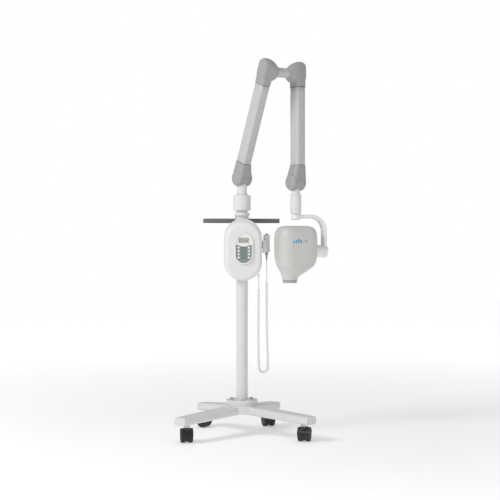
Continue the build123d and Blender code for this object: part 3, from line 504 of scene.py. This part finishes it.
def tubeOutline():
    # the rounded section with extra points on its flats, pulled in by a smooth notch at each flute
    corner, wide, deep = tube["corner"], tube["halfWide"], tube["halfDeep"]
    flat = np.concatenate([np.linspace(wide - corner, -(wide - corner), 60)])
    side = np.linspace(deep - corner, -(deep - corner), 6)[1:-1]
    arcs = np.linspace(0, math.pi / 2, 12)
    quarter = [np.column_stack([sx * (wide - corner) + corner * np.cos(arcs + q * math.pi / 2),
                                sy * (deep - corner) + corner * np.sin(arcs + q * math.pi / 2)])
               for q, (sx, sy) in enumerate(((1, 1), (-1, 1), (-1, -1), (1, -1)))]
    notch = tube["fluteDepth"] * np.exp(-(((np.abs(flat) - tube["fluteAt"]) / tube["fluteHalf"]) ** 4))
    back = np.column_stack([flat, deep - notch])[1:-1]
    front = np.column_stack([-flat, -deep + notch])[1:-1]
    left = np.column_stack([np.full(len(side), -wide), side])
    right = np.column_stack([np.full(len(side), wide), -side])
    return np.vstack([quarter[0], back, quarter[1], left, quarter[2], front, quarter[3], right])


def makeArmTube(name, length, matrix, body, node):
    outline = tubeOutline()[None] + np.array([tube["shift"], 0])
    heights = np.linspace(tube["start"], length - tube["start"], 9)
    rings = stackedRings(np.repeat(outline, len(heights), 0), heights) * mm
    piece = place(ringSurface(name, rings, materials["armPaint"]), matrix)
    return finishPiece(outwards(piece), body, [node])


makeArmTube("lowerArmTube", 520, atLowerArm, "lower_arm", "lower_arm_tube")
makeArmTube("upperArmTube", 500, atWrist @ mirrorX, "upper_arm", "upper_arm_tube")

# ---- dark gaskets where each cover's sleeve ends on its tube ----
gasket = dict(halfWide=26.9, halfDeep=34.9, corner=15.9, height=1.3)


def makeGasket(name, height, matrix, body):
    grow = np.array([-2.5, -0.3, 0.0, 0.0, -0.3, -2.5])
    outline = roundedRing(gasket["halfWide"] + grow, gasket["halfDeep"] + grow, gasket["corner"] + grow)
    heights = height + np.array([-0.3, -0.3, 0.1, gasket["height"] - 0.3, gasket["height"], gasket["height"]])
    piece = place(ringSurface(name, stackedRings(outline, heights, (tube["shift"], 0)) * mm, materials["castorBlack"]), matrix)
    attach(outwards(piece), body)


makeGasket("shoulderGasket", 77.9, atLowerArm, "lower_arm")
makeGasket("lowerElbowGasket", 520 - 59 - 1.2, atLowerArm, "lower_arm")
makeGasket("upperElbowGasket", 500 - 59 - 1.2, atWrist @ mirrorX, "upper_arm")
makeGasket("wristGasket", 77.9, atWrist @ mirrorX, "upper_arm")
print("arm tubes and gaskets made")

# ---- tube head: sections of height, middle, width, depth and corner, joined by a smooth cubic ----
headSections = np.array([
    (727, -30, 72, 72, 35.9), (740, -29, 76, 75, 36), (764, -14, 118, 104, 44), (790, -3, 162, 130, 48), (825, 0, 183, 140, 46),
    (880, 0, 185, 140, 42), (930, 0, 183, 138, 42), (958, 0, 172, 126, 44), (971, 0, 150, 106, 46), (976, 0, 118, 76, 37)]) * mm
head = dict(seamHalf=0.35 * mm, wall=3.0 * mm, portRadius=32.2 * mm, plateProud=1.3 * mm)


def headSize(height):
    # cubic Hermite through the sections, each slope the mean of its two neighbours' slopes
    height = np.asarray(height, float)
    z, sizes = headSections[:, 0], headSections[:, 1:]
    rise = np.diff(sizes, axis=0) / np.diff(z)[:, None]
    slopes = np.vstack([rise[:1], (rise[1:] + rise[:-1]) / 2, rise[-1:]])
    slopes[1:-1][np.sign(rise[1:]) != np.sign(rise[:-1])] = 0
    i = np.clip(np.searchsorted(z, height) - 1, 0, len(z) - 2)
    span = (z[i + 1] - z[i])[..., None]
    t = np.clip((height[..., None] - z[i][..., None]) / span, 0, 1)
    low, high, lowSlope, highSlope = sizes[i], sizes[i + 1], slopes[i] * span, slopes[i + 1] * span
    return ((2 * t ** 3 - 3 * t ** 2 + 1) * low + (t ** 3 - 2 * t ** 2 + t) * lowSlope
            + (-2 * t ** 3 + 3 * t ** 2) * high + (t ** 3 - t ** 2) * highSlope)


def makeHeadShell(name, side, node):
    # side is -1 for the front half and 1 for the back half; every row runs round half the section
    heights = np.concatenate([np.linspace(727, 790, 22), np.linspace(793, 955, 40), np.linspace(958, 976, 16)]) * mm
    middle, width, depth, corner = headSize(heights).T
    corner = np.minimum(corner, np.minimum(width, depth) / 2 - 0.05 * mm)
    ring = roundedRing(width / 2, depth / 2, corner, perCorner=16)
    half = ring[:, 32:] if side < 0 else ring[:, :32]
    seam = side * head["seamHalf"]
    first = np.stack([half[:, 0, 0], np.full(len(heights), seam)], -1)[:, None]
    last = np.stack([half[:, -1, 0], np.full(len(heights), seam)], -1)[:, None]
    share = np.linspace(0, 1, 5)[None, 1:, None]
    lead = first + (half[:, :1] - first) * share
    tail = half[:, -1:] + (last - half[:, -1:]) * share
    row = np.concatenate([first, lead, half[:, 1:-1], half[:, -1:], tail], 1)
    row[..., 1] = side * np.maximum(side * row[..., 1], head["seamHalf"])
    rings = np.concatenate([row + np.stack([middle, 0 * middle], -1)[:, None],
                            np.broadcast_to(heights[:, None, None], row.shape[:2] + (1,))], -1)
    # the top closes in steps towards the seam's middle, and the bottom turns in to the cone's port
    topMiddle = np.array([middle[-1], seam, heights[-1] + 0.15 * mm])
    port = rings[0].copy()
    fromAxis = port[:, :2] - np.array([middle[0], 0])
    port[:, :2] = np.array([middle[0], 0]) + fromAxis / np.linalg.norm(fromAxis, axis=1)[:, None] * head["portRadius"]
    port[:, 1] = side * np.maximum(side * port[:, 1], head["seamHalf"])
    cap = [topMiddle + (rings[-1] - topMiddle) * share for share in (0.94, 0.8, 0.55, 0.28, 0.02)]
    grid = np.concatenate([port[None], rings, np.array(cap)])
    shell = meshPiece(name, grid, gridFaces(len(grid), grid.shape[1], closed=False), materials["headPlastic"])
    outwardsFrom(shell, (0, 0, 0.86))
    wall = shell.modifiers.new("wall", "SOLIDIFY")
    wall.thickness, wall.offset = head["wall"], -1
    return finishPiece(place(shell, atHead), "head", [node])


def outwardsFrom(piece, middle):
    # an open shell round a middle point: its faces point away from that point
    mesh = piece.data
    centre, normal = np.empty(len(mesh.polygons) * 3), np.empty(len(mesh.polygons) * 3)
    mesh.polygons.foreach_get("center", centre)
    mesh.polygons.foreach_get("normal", normal)
    away = (centre.reshape(-1, 3) - np.array(middle)) * normal.reshape(-1, 3)
    if away.sum() < 0:
        mesh.flip_normals()
    return piece


makeHeadShell("headFrontShell", -1, "head_front_shell")
makeHeadShell("headBackShell", 1, "head_back_shell")

# the front plate's outline, X and Z in the head's own frame, walked clockwise from the upper left
plateOutline = np.array([
    (-61, 905), (-57, 925), (-45, 943), (-28, 953), (0, 955), (30, 955), (52, 951), (68, 939), (76, 915), (79, 885), (79, 850),
    (74, 822), (62, 802), (44, 787), (20, 776), (2, 765), (-8, 754), (-13, 745), (-24, 741), (-36, 741), (-46, 745), (-51, 758),
    (-56, 780), (-60, 810), (-62, 840), (-62.5, 875)]) * mm


def closedSpline(points, steps):
    # Catmull-Rom through a closed ring of points
    before, after, further = np.roll(points, 1, 0), np.roll(points, -1, 0), np.roll(points, -2, 0)
    t = np.linspace(0, 1, steps, endpoint=False)[None, :, None]
    a, b, c, d = before[:, None], points[:, None], after[:, None], further[:, None]
    curve = 0.5 * (2 * b + (c - a) * t + (2 * a - 5 * b + 4 * c - d) * t ** 2 + (3 * b - a - 3 * c + d) * t ** 3)
    return curve.reshape(-1, 2)


def headFrontY(x, z):
    # the front surface's Y at a point of the head's frame: flat, then a quarter circle at each corner
    middle, width, depth, corner = np.moveaxis(headSize(z), -1, 0)
    past = np.clip(np.abs(x - middle) - (width / 2 - corner), 0, corner * 0.98)
    return -(depth / 2 - corner + np.sqrt(corner ** 2 - past ** 2))


def plateRings(outline, centre, proud, rows):
    # each row is the outline drawn in towards the centre by (inset, lift) off the head's surface
    towards = centre - outline
    reach = np.linalg.norm(towards, axis=1, keepdims=True)
    flat = np.stack([outline + towards / reach * np.minimum(inset, 0.98 * reach) for inset, lift in rows])
    flat = np.concatenate([flat, np.stack([outline + towards * share for share in (0.12, 0.3, 0.5, 0.7, 0.88, 0.99)])])
    lift = np.concatenate([[lift for inset, lift in rows], np.full(6, proud)])
    y = headFrontY(flat[..., 0], flat[..., 1]) - lift[:, None]
    return np.stack([flat[..., 0], y, flat[..., 1]], -1)


def makeFacePlate():
    outline = closedSpline(plateOutline, 8)
    proud = head["plateProud"]
    rows = [(0, -1.5 * mm), (0, proud - 0.5 * mm), (0.25 * mm, proud - 0.15 * mm), (0.7 * mm, proud)]
    rings = plateRings(outline, np.array([0, 0.868]), proud, rows)
    piece = ringSurface("headFacePlate", rings, materials["headPlastic"], capLow=True)
    return finishPiece(place(outwards(piece), atHead), "head")


makeFacePlate()

# a plain raised mark on the plate: four rising bars and a ring, with no lettering
plateMark = dict(left=-44, base=896, pitch=12.5, width=8.5, heights=(10, 15, 20, 15), ring=(18, 904, 7.5, 4.6), proud=0.4)


def makeMarkBar(name, x, z, width, height, material, grow=0.0):
    outline = roundedRing(width / 2 * mm, height / 2 * mm, min(width, height) / 2 * 0.98 * mm)[0] + np.array([x, z]) * mm
    towards = np.array([x, z]) * mm - outline
    lifts = np.array([-0.5, plateMark["proud"] - 0.15, plateMark["proud"], plateMark["proud"]]) + 1.3
    flat = np.stack([outline, outline, outline + towards * 0.08, outline + towards * 0.97])
    y = headFrontY(flat[..., 0], flat[..., 1]) - lifts[:, None] * mm
    piece = ringSurface(name, np.stack([flat[..., 0], y, flat[..., 1]], -1), materials[material])
    return finishPiece(place(outwards(piece), atHead), "head")


for bar, height in enumerate(plateMark["heights"]):
    makeMarkBar(f"plateBar{bar + 1}", plateMark["left"] + bar * plateMark["pitch"], plateMark["base"] + height / 2,
                plateMark["width"], height, "markBlue")


def makeMarkRing():
    x, z, outer, inner = plateMark["ring"]
    turn = np.linspace(0, 2 * math.pi, 48, endpoint=False)
    radii = np.array([outer, outer, outer - 0.3, inner + 0.3, inner, inner])
    lifts = np.array([-0.5, 0.25, 0.4, 0.4, 0.25, -0.5]) + 1.3
    px = (x + radii[:, None] * np.cos(turn)) * mm
    pz = (z + radii[:, None] * np.sin(turn)) * mm
    y = headFrontY(px, pz) - lifts[:, None] * mm
    rows = np.stack([px, y, pz], -1)
    faces = np.vstack([gridFaces(6, 48), wrapFaces(6, 48)])
    piece = meshPiece("plateRing", rows, faces, materials["coverGrey"])
    return finishPiece(place(outwards(piece), atHead), "head")


makeMarkRing()
print("head made")

# ---- operating panel: liquid-crystal glass with digits, keypad window and key rings ----
panel = dict(faceY=-130, glass=(50, 25, 4), glassZ=909, digits="032", digitHeight=14.5, digitWidth=8.2, stroke=1.7, pitch=12.4,
             windowSize=(27, 60, 6), windowZ=851, keyX=24, keyTop=876, keyPitch=15.2, ringOuter=7.0, ringInner=5.4)
atPanel = Matrix.Rotation(math.radians(90), 4, "X")  # X stays, the old Y goes up and the old Z comes forward


def panelPlate(name, x, z, wide, high, corner, low, high2, material, slot="keypad_film", edge=0.25):
    # a thin rounded plate on the panel's face between two heights above it, with a softened edge
    grow = np.array([0, 0, -edge * 0.4, -edge, -edge - 0.6])
    outline = roundedRing(wide / 2 + grow, high / 2 + grow, np.maximum(corner + grow, 0.05), perCorner=8)
    heights = np.array([low, high2 - edge, high2 - edge * 0.35, high2, high2])
    rings = stackedRings(outline, heights - panel["faceY"], (x, z)) * mm
    piece = place(ringSurface(name, rings, materials[material]), atPanel)
    return finishPiece(outwards(piece), "root")


panelPlate("displayFrame", 0, panel["glassZ"], 56, 31, 6, -0.5, 0.5, "lightPlastic", "white_plastic")
panelPlate("displayGlass", 0, panel["glassZ"], *panel["glass"], -0.5, 0.75, "lcdGlass", "keypad_film")
panelPlate("keypadWindow", 0, panel["windowZ"], *panel["windowSize"], -0.5, 0.35, "lcdGreen", "keypad_film")

# which of the seven strokes each digit lights: top, upper right, lower right, bottom, lower left, upper left, middle
digitStrokes = {"0": (0, 1, 2, 3, 4, 5), "3": (0, 1, 2, 3, 6), "2": (0, 1, 3, 4, 6)}


def strokeHexagon(x, z, length, upright, stroke):
    # a stroke is a long hexagon: a bar whose two ends come to a point
    half, w = length / 2, stroke / 2
    outline = np.array([(-half, 0), (-half + w, w), (half - w, w), (half, 0), (half - w, -w), (-half + w, -w)])
    if upright:
        outline = outline[:, ::-1] * np.array([1, -1])
    return outline + np.array([x, z])


def makeDigits():
    wide, high, stroke = panel["digitWidth"], panel["digitHeight"], panel["stroke"]
    half = high / 2
    layout = [(0, half, False), (wide / 2, half / 2, True), (wide / 2, -half / 2, True), (0, -half, False),
              (-wide / 2, -half / 2, True), (-wide / 2, half / 2, True), (0, 0, False)]
    outlines = []
    for place_, digit in enumerate(panel["digits"]):
        centre = (place_ - 1) * panel["pitch"] + 3.0
        for stroke_ in digitStrokes[digit]:
            x, z, upright = layout[stroke_]
            length = (half if upright else wide) - 0.7
            outlines.append(strokeHexagon(centre + x, panel["glassZ"] + z, length, upright, stroke))
    dot = np.array([(-0.9, -0.9), (0.9, -0.9), (0.9, 0.9), (-0.9, 0.9), (-0.9, 0.5), (-0.9, -0.5)])
    outlines.append(dot + np.array([3.0 - panel["pitch"] / 2, panel["glassZ"] - half]))
    for level in range(4):  # a small battery-style bar gauge at the left
        bar = np.array([(-3.2, -1.1), (3.2, -1.1), (3.2, 1.1), (0, 1.1), (-3.2, 1.1), (-3.2, 0)])
        outlines.append(bar + np.array([-19.0, panel["glassZ"] - 6.3 + level * 4.2]))
    outlines = np.array(outlines)
    low, top = 0.6 - panel["faceY"], 0.95 - panel["faceY"]
    count = len(outlines)
    lower = np.concatenate([outlines, np.full(outlines.shape[:2] + (1,), low)], -1)
    upper = np.concatenate([outlines, np.full(outlines.shape[:2] + (1,), top)], -1)
    points = np.concatenate([lower, upper], 1).reshape(-1, 3) * mm
    j = np.arange(6)
    sides = np.stack([j, (j + 1) % 6, (j + 1) % 6 + 6, j + 6], -1)
    start = (np.arange(count) * 12)[:, None, None]
    sideFaces = (sides[None] + start).reshape(-1, 4).tolist()
    caps = ((np.arange(6) + 6)[None] + start[:, 0]).tolist() + (np.arange(6)[::-1][None] + start[:, 0]).tolist()
    mesh = bpy.data.meshes.new("displayDigits")
    mesh.from_pydata(points.tolist(), [], sideFaces + caps)
    mesh.materials.append(materials["blackGloss"])
    piece = bpy.data.objects.new("displayDigits", mesh)
    scene.collection.objects.link(piece)
    finishPiece(place(outwards(piece), atPanel), "root")


makeDigits()


def makeKeyRing(side, row):
    # a low ring round each key: a half-round wall carried round the key's axis
    turn = np.linspace(0, math.pi, 7)
    middle, half = (panel["ringOuter"] + panel["ringInner"]) / 2, (panel["ringOuter"] - panel["ringInner"]) / 2
    profile = np.column_stack([middle + half * np.cos(turn), 0.6 * np.sin(turn) - 0.1 - panel["faceY"]])
    profile = np.vstack([profile, [middle - half, -0.6 - panel["faceY"]], [middle + half, -0.6 - panel["faceY"]]]) * mm
    rings = turnedRings(profile, 40)
    rings[..., 0] += side * panel["keyX"] * mm
    rings[..., 1] += (panel["keyTop"] - row * panel["keyPitch"]) * mm
    faces = np.vstack([gridFaces(len(profile), 40), wrapFaces(len(profile), 40)])
    piece = meshPiece(f"keyRing{'L' if side < 0 else 'R'}{row + 1}", rings, faces, materials["coverGrey"])
    finishPiece(place(outwards(piece), atPanel), "root")


for side in (-1, 1):
    for row in range(4):
        makeKeyRing(side, row)
print("panel made")

# ---- castor wheels: a soft tyre with two running grooves, and a dished hub with a cap ----
wheel = dict(radius=30, near=6.0, far=28.0, hubRadius=21.5, trail=22)
tyreProfile = [(21.0, 6.6), (26.5, 6.3), (28.6, 7.2), (29.8, 9.6), (30.0, 12.0), (30.0, 13.6), (29.2, 14.0), (29.2, 14.9), (30.0, 15.3),
               (30.0, 18.7), (29.2, 19.1), (29.2, 20.0), (30.0, 20.4), (30.0, 22.6), (29.7, 25.0), (28.4, 27.2), (26.2, 28.0),
               (22.4, 28.0), (21.7, 27.3), (21.0, 26.6)]
hubProfile = [(0.01, 6.4), (21.1, 6.4), (21.3, 7.0), (21.3, 26.4), (20.4, 26.9), (19.2, 25.4), (11.0, 24.4), (9.2, 24.6), (8.6, 26.6),
              (7.6, 27.4), (4.2, 27.6), (0.01, 27.6)]
castorSides = ("fl", "fr", "rl", "rr")


def makeWheels(corner):
    spin = joints[f"wheel_spin_{corner}"]
    axis = Vector(spin["axis"])
    atAxle = Matrix.Translation(spin["pos_m"]) @ axis.to_track_quat("Z", "Y").to_matrix().to_4x4()
    for side, label in ((1, "Outer"), (-1, "Inner")):
        flip = Matrix.Scale(side, 4, (0, 0, 1))
        tyreRings = turnedRings(roundedProfile(np.array(tyreProfile) * mm, 0.4 * mm, 3), 72)
        faces = np.vstack([gridFaces(len(tyreRings), 72), wrapFaces(len(tyreRings), 72)])
        tyre = meshPiece(f"tyre{label}_{corner}", tyreRings, faces, materials["tyreBlack"])
        finishPiece(outwards(place(tyre, atAxle @ flip)), f"wheels_{corner}",
                    [f"wheelset_{corner}"] if side > 0 else ())
        hub = lathe(f"hub{label}_{corner}", np.array(hubProfile) * mm, "castorBlack", atAxle @ flip, 60, 0.5 * mm)
        finishPiece(outwards(hub), f"wheels_{corner}")
    axle = lathe(f"axle_{corner}", np.array([(0.01, -7), (4, -7), (4, 7), (0.01, 7)]) * mm, "steel", atAxle, 24, 0.2 * mm)
    finishPiece(outwards(axle), f"wheels_{corner}")


for corner in castorSides:
    makeWheels(corner)
print("castor wheels made")

# ---- cross bar: a rubber sleeve with ribbed ends and domed caps ----
crossBar = dict(radius=11.0, half=181.0, y=42, z=1003, ribs=9, ribPitch=5.0, ribDepth=0.7, ribStart=172.0)


def makeCrossBar():
    # one end's profile from the cap inwards; ribs are a raised cosine along the length
    capTurn = np.linspace(math.pi / 2, 0, 8)
    half, radius = crossBar["half"], crossBar["radius"]
    cap = np.column_stack([radius - 3.0 + 3.0 * np.cos(capTurn), half - 3.0 + 3.0 * np.sin(capTurn)])
    ribs = crossBar["ribStart"] - np.linspace(0, crossBar["ribs"] * crossBar["ribPitch"], crossBar["ribs"] * 8 + 1)
    dip = crossBar["ribDepth"] * (0.5 - 0.5 * np.cos(2 * math.pi * (crossBar["ribStart"] - ribs) / crossBar["ribPitch"])) ** 2
    end = np.vstack([[0.01, half], cap, np.column_stack([radius - dip, ribs]), [(radius, 120), (radius, 60)]])
    profile = np.vstack([end, end[::-1] * np.array([1, -1])]) * mm
    matrix = Matrix.Translation((0, crossBar["y"] * mm, crossBar["z"] * mm)) @ alongX
    piece = place(ringSurface("crossBar", turnedRings(profile, 56), materials["gripRubber"]), matrix)
    finishPiece(outwards(piece), "root", ["handle_bar"])


makeCrossBar()

# ---- strain relief under the box: a tapered sleeve with a collar and sunk rings ----
gland = dict(x=73, y=-73, top=752.0, end=736.0)
glandProfile = [(0.01, 752), (5.6, 752), (6.2, 751), (6.2, 748.6), (5.0, 748.2), (4.9, 747), (4.2, 746.7), (4.2, 745.6), (4.7, 745.3),
                (4.5, 743.6), (3.9, 743.3), (3.9, 742.2), (4.3, 741.9), (4.1, 740.2), (3.6, 739.9), (3.6, 738.9), (3.9, 738.6),
                (3.7, 736.6), (3.2, 736.0), (0.01, 736.0)]
atGland = Matrix.Translation((gland["x"] * mm, gland["y"] * mm, 0))
cordGland = lathe("cordGland", np.array(glandProfile) * mm, "lightPlastic", atGland, 40, 0.2 * mm)
finishPiece(outwards(cordGland), "root", ["cord_gland"])

# ---- handset: a shell with pulled-in flanks, finger ribs on its front, and a dark plug and relief below ----
handset = dict(x=110, y=-73, low=855, high=936, halfWide=14.5, halfDeep=13, corner=6, round=4.0, waist=0.9, ribs=5, ribTop=912, ribPitch=7)


def makeHandset():
    low, high, soft = handset["low"], handset["high"], handset["round"]
    turn = np.linspace(0, math.pi / 2, 7)
    heights = np.concatenate([low + soft * (1 - np.cos(turn)), np.linspace(low + soft, high - soft, 60)[1:-1],
                              high - soft * (1 - np.cos(turn[::-1]))])
    pulled = np.concatenate([soft * (1 - np.sin(turn)), np.zeros(58), soft * (1 - np.sin(turn[::-1]))])
    # flanks draw in by a half sine between the ends
    pulled = pulled + handset["waist"] * np.sin(math.pi * (heights - low) / (high - low)) ** 2
    outline = roundedRing(handset["halfWide"] - pulled, handset["halfDeep"] - pulled, handset["corner"] - pulled * 0.5, perCorner=9)
    # ribs: narrow dents on the front face, spaced along the height
    gap = (handset["ribTop"] - heights) / handset["ribPitch"]
    inRibs = (gap > -0.5) & (gap < handset["ribs"] - 0.5)
    dent = np.where(inRibs, 0.8 * np.exp(-((gap - np.round(gap)) / 0.16) ** 2), 0)
    frontness = np.clip((-outline[..., 1] - 9.5) / 2.0, 0, 1)
    outline[..., 1] += dent[:, None] * frontness
    rings = stackedRings(outline, heights, (handset["x"], handset["y"])) * mm
    ends = [rings[0] * [1, 1, 1]]
    rings = np.concatenate([ends[0][None] * 1, rings])
    shell = ringSurface("handsetShell", rings[1:], materials["handsetShell"])
    finishPiece(outwards(shell), "handset", ["handset_body"])
    collarProfile = [(0.01, 937.2), (6.75, 937.2), (6.75, 936.4), (8.6, 936.4), (9.4, 935.9), (9.4, 935.0), (0.01, 935.0)]
    collar = lathe("triggerCollar", np.array(collarProfile) * mm, "blackGloss", Matrix.Translation((handset["x"] * mm, handset["y"] * mm, 0)), 48, 0.2 * mm)
    finishPiece(outwards(collar), "handset")
    plugProfile = [(0.01, 856), (6.9, 856), (7.1, 855), (7.1, 844), (6.4, 842.4), (5.0, 841.6), (4.7, 839), (3.9, 838.6), (3.9, 837.4),
                   (4.4, 837.0), (4.2, 833.6), (3.6, 833.2), (3.6, 832.0), (4.0, 831.6), (3.8, 828.2), (3.2, 827.8), (3.2, 826.6),
                   (3.5, 826.2), (3.2, 820.4), (2.8, 819.0), (0.01, 819.0)]
    plug = lathe("handsetPlug", np.array(plugProfile) * mm, "coverGrey", Matrix.Translation((handset["x"] * mm, handset["y"] * mm, 0)), 40, 0.25 * mm)
    finishPiece(outwards(plug), "handset")


makeHandset()
print("handset, gland and cross bar made")

# ---- screws: a pan head with a cross recess cut as a star-shaped dip ----
screws = [  # name, body, place in mm, direction it faces, head radius
    ("boxScrew1", "root", (-58, -36, 952), (0, 1, 0), 4.0), ("boxScrew2", "root", (58, -36, 952), (0, 1, 0), 4.0),
    ("boxScrew3", "root", (66, -36, 800), (0, 1, 0), 4.0), ("boxScrew4", "root", (0, -36, 737), (0, 1, 0), 4.0),
    ("inletScrew1", "root", (-58, -33.5, 839.6), (0, 1, 0), 2.6), ("inletScrew2", "root", (-58, -33.5, 780.4), (0, 1, 0), 2.6)]


def makeScrew(name, body, spot, facing, radius, base=Matrix()):
    # the head is a shallow dome; the cross is where |sin 2t| is small near the middle
    turn = np.linspace(0, 2 * math.pi, 48, endpoint=False)
    radii = np.array([1.0, 1.0, 0.97, 0.88, 0.72, 0.56, 0.52, 0.3, 0.12]) * radius
    rise = np.array([-0.6, 0.15, 0.32, 0.44, 0.52, 0.55, 0.56, 0.57, 0.57]) * radius * 0.6
    arm = np.clip(1.35 - np.abs(np.sin(2 * turn)) * 2.2, 0, 1)
    dip = np.where(radii[:, None] < 0.54 * radius, arm[None] * 0.5 * radius, 0)
    dip[-1] = 0.5 * radius
    rings = np.stack([radii[:, None] * np.cos(turn), radii[:, None] * np.sin(turn), rise[:, None] - dip], -1) * mm
    matrix = base @ Matrix.Translation(Vector(spot) * mm) @ Vector(facing).to_track_quat("Z", "Y").to_matrix().to_4x4()
    piece = place(ringSurface(name, rings, materials["steel"]), matrix)
    return finishPiece(outwards(piece), body)


for screw in screws:
    makeScrew(*screw)
for index, (x, z) in enumerate(((-62, 925), (62, 925), (-52, 800), (30, 800))):
    y = -headFrontY(np.array(x * mm), np.array(z * mm)) / mm
    makeScrew(f"headScrew{index + 1}", "head", (x, float(y), z), (0, 1, 0), 3.4, atHead)
print("screws made")

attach(handsetCurlyCord, "root")
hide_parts("handset_cord", "handset_leads")

# ---- floor, lights and camera ----
studio = dict(floorRadius=16.0, clearRadius=0.9, fadeRadius=4.5, air=0.5, backdrop=1.0)


def makeFloor():
    # one flat round sheet of paper: rings of growing radius about the column
    radii = studio["floorRadius"] * np.linspace(0, 1, 25)[1:] ** 2
    turn = np.linspace(0, 2 * math.pi, 96, endpoint=False)
    rings = np.stack([radii[:, None] * np.cos(turn), radii[:, None] * np.sin(turn), 0 * radii[:, None] + 0 * turn - 0.0004], -1)
    floor = ringSurface("studioFloor", rings, materials["studioPaper"], capHigh=False)
    # paper glows more with distance, so it meets the bright air: white times a linear ramp of the distance
    tree = materials["studioPaper"].node_tree
    coords = tree.nodes.new("ShaderNodeTexCoord")
    distance = tree.nodes.new("ShaderNodeVectorMath")
    distance.operation = "LENGTH"
    tree.links.new(coords.outputs["Object"], distance.inputs[0])
    ramp = tree.nodes.new("ShaderNodeMapRange")
    ramp.inputs["From Min"].default_value, ramp.inputs["From Max"].default_value = studio["clearRadius"], studio["fadeRadius"]
    ramp.inputs["To Min"].default_value, ramp.inputs["To Max"].default_value = 0.26, 0.55
    tree.links.new(distance.outputs["Value"], ramp.inputs["Value"])
    shader = tree.nodes["Principled BSDF"]
    tree.links.new(ramp.outputs["Result"], shader.inputs["Emission Color"])
    shader.inputs["Emission Strength"].default_value = 1.0


def areaLight(name, place, target, size, power, tint=(1, 1, 1)):
    data = bpy.data.lights.new(name, "AREA")
    data.shape, data.size, data.size_y = "RECTANGLE", size[0], size[1]
    data.energy, data.color = power, tint
    lamp = bpy.data.objects.new(name, data)
    lamp.location = place
    lamp.rotation_euler = (Vector(target) - Vector(place)).to_track_quat("-Z", "Y").to_euler()
    lamp.visible_camera = False
    scene.collection.objects.link(lamp)


makeFloor()
areaLight("keyLight", (-3.4, -2.4, 3.6), (0, 0, 0.9), (1.6, 1.6), 125)
areaLight("fillLight", (2.4, -3.6, 1.2), (0, 0, 0.9), (2.4, 2.4), 16)
scene.view_settings.view_transform = "Standard"  # plain tones, so the paper stays white
world = bpy.data.worlds.new("studioAir")
world.use_nodes = True
airTree = world.node_tree
rayKind = airTree.nodes.new("ShaderNodeLightPath")
airStrength = airTree.nodes.new("ShaderNodeMapRange")  # what lights the unit is softer than the air behind it
airStrength.inputs["To Min"].default_value, airStrength.inputs["To Max"].default_value = studio["air"], studio["backdrop"]
airTree.links.new(rayKind.outputs["Is Camera Ray"], airStrength.inputs["Value"])
airTree.links.new(airStrength.outputs["Result"], airTree.nodes["Background"].inputs["Strength"])
airTree.nodes["Background"].inputs["Color"].default_value = (1, 1, 1, 1)
scene.world = world

camera = dict(azimuth=-4.0, distance=5.5, height=0.865, lens=84.24, sideStep=0.0376)
lookAlong = Vector((math.sin(math.radians(-camera["azimuth"])), math.cos(math.radians(camera["azimuth"])), 0))
sideways = Vector((lookAlong.y, -lookAlong.x, 0))
eyePoint = sideways * camera["sideStep"] - lookAlong * camera["distance"] + Vector((0, 0, camera["height"]))
cameraData = bpy.data.cameras.new("frontCamera")
cameraData.lens, cameraData.sensor_width = camera["lens"], 36
cameraPiece = bpy.data.objects.new("frontCamera", cameraData)
cameraPiece.location = eyePoint
cameraPiece.rotation_euler = lookAlong.to_track_quat("-Z", "Y").to_euler()
scene.collection.objects.link(cameraPiece)
scene.camera = cameraPiece
print("studio ready")
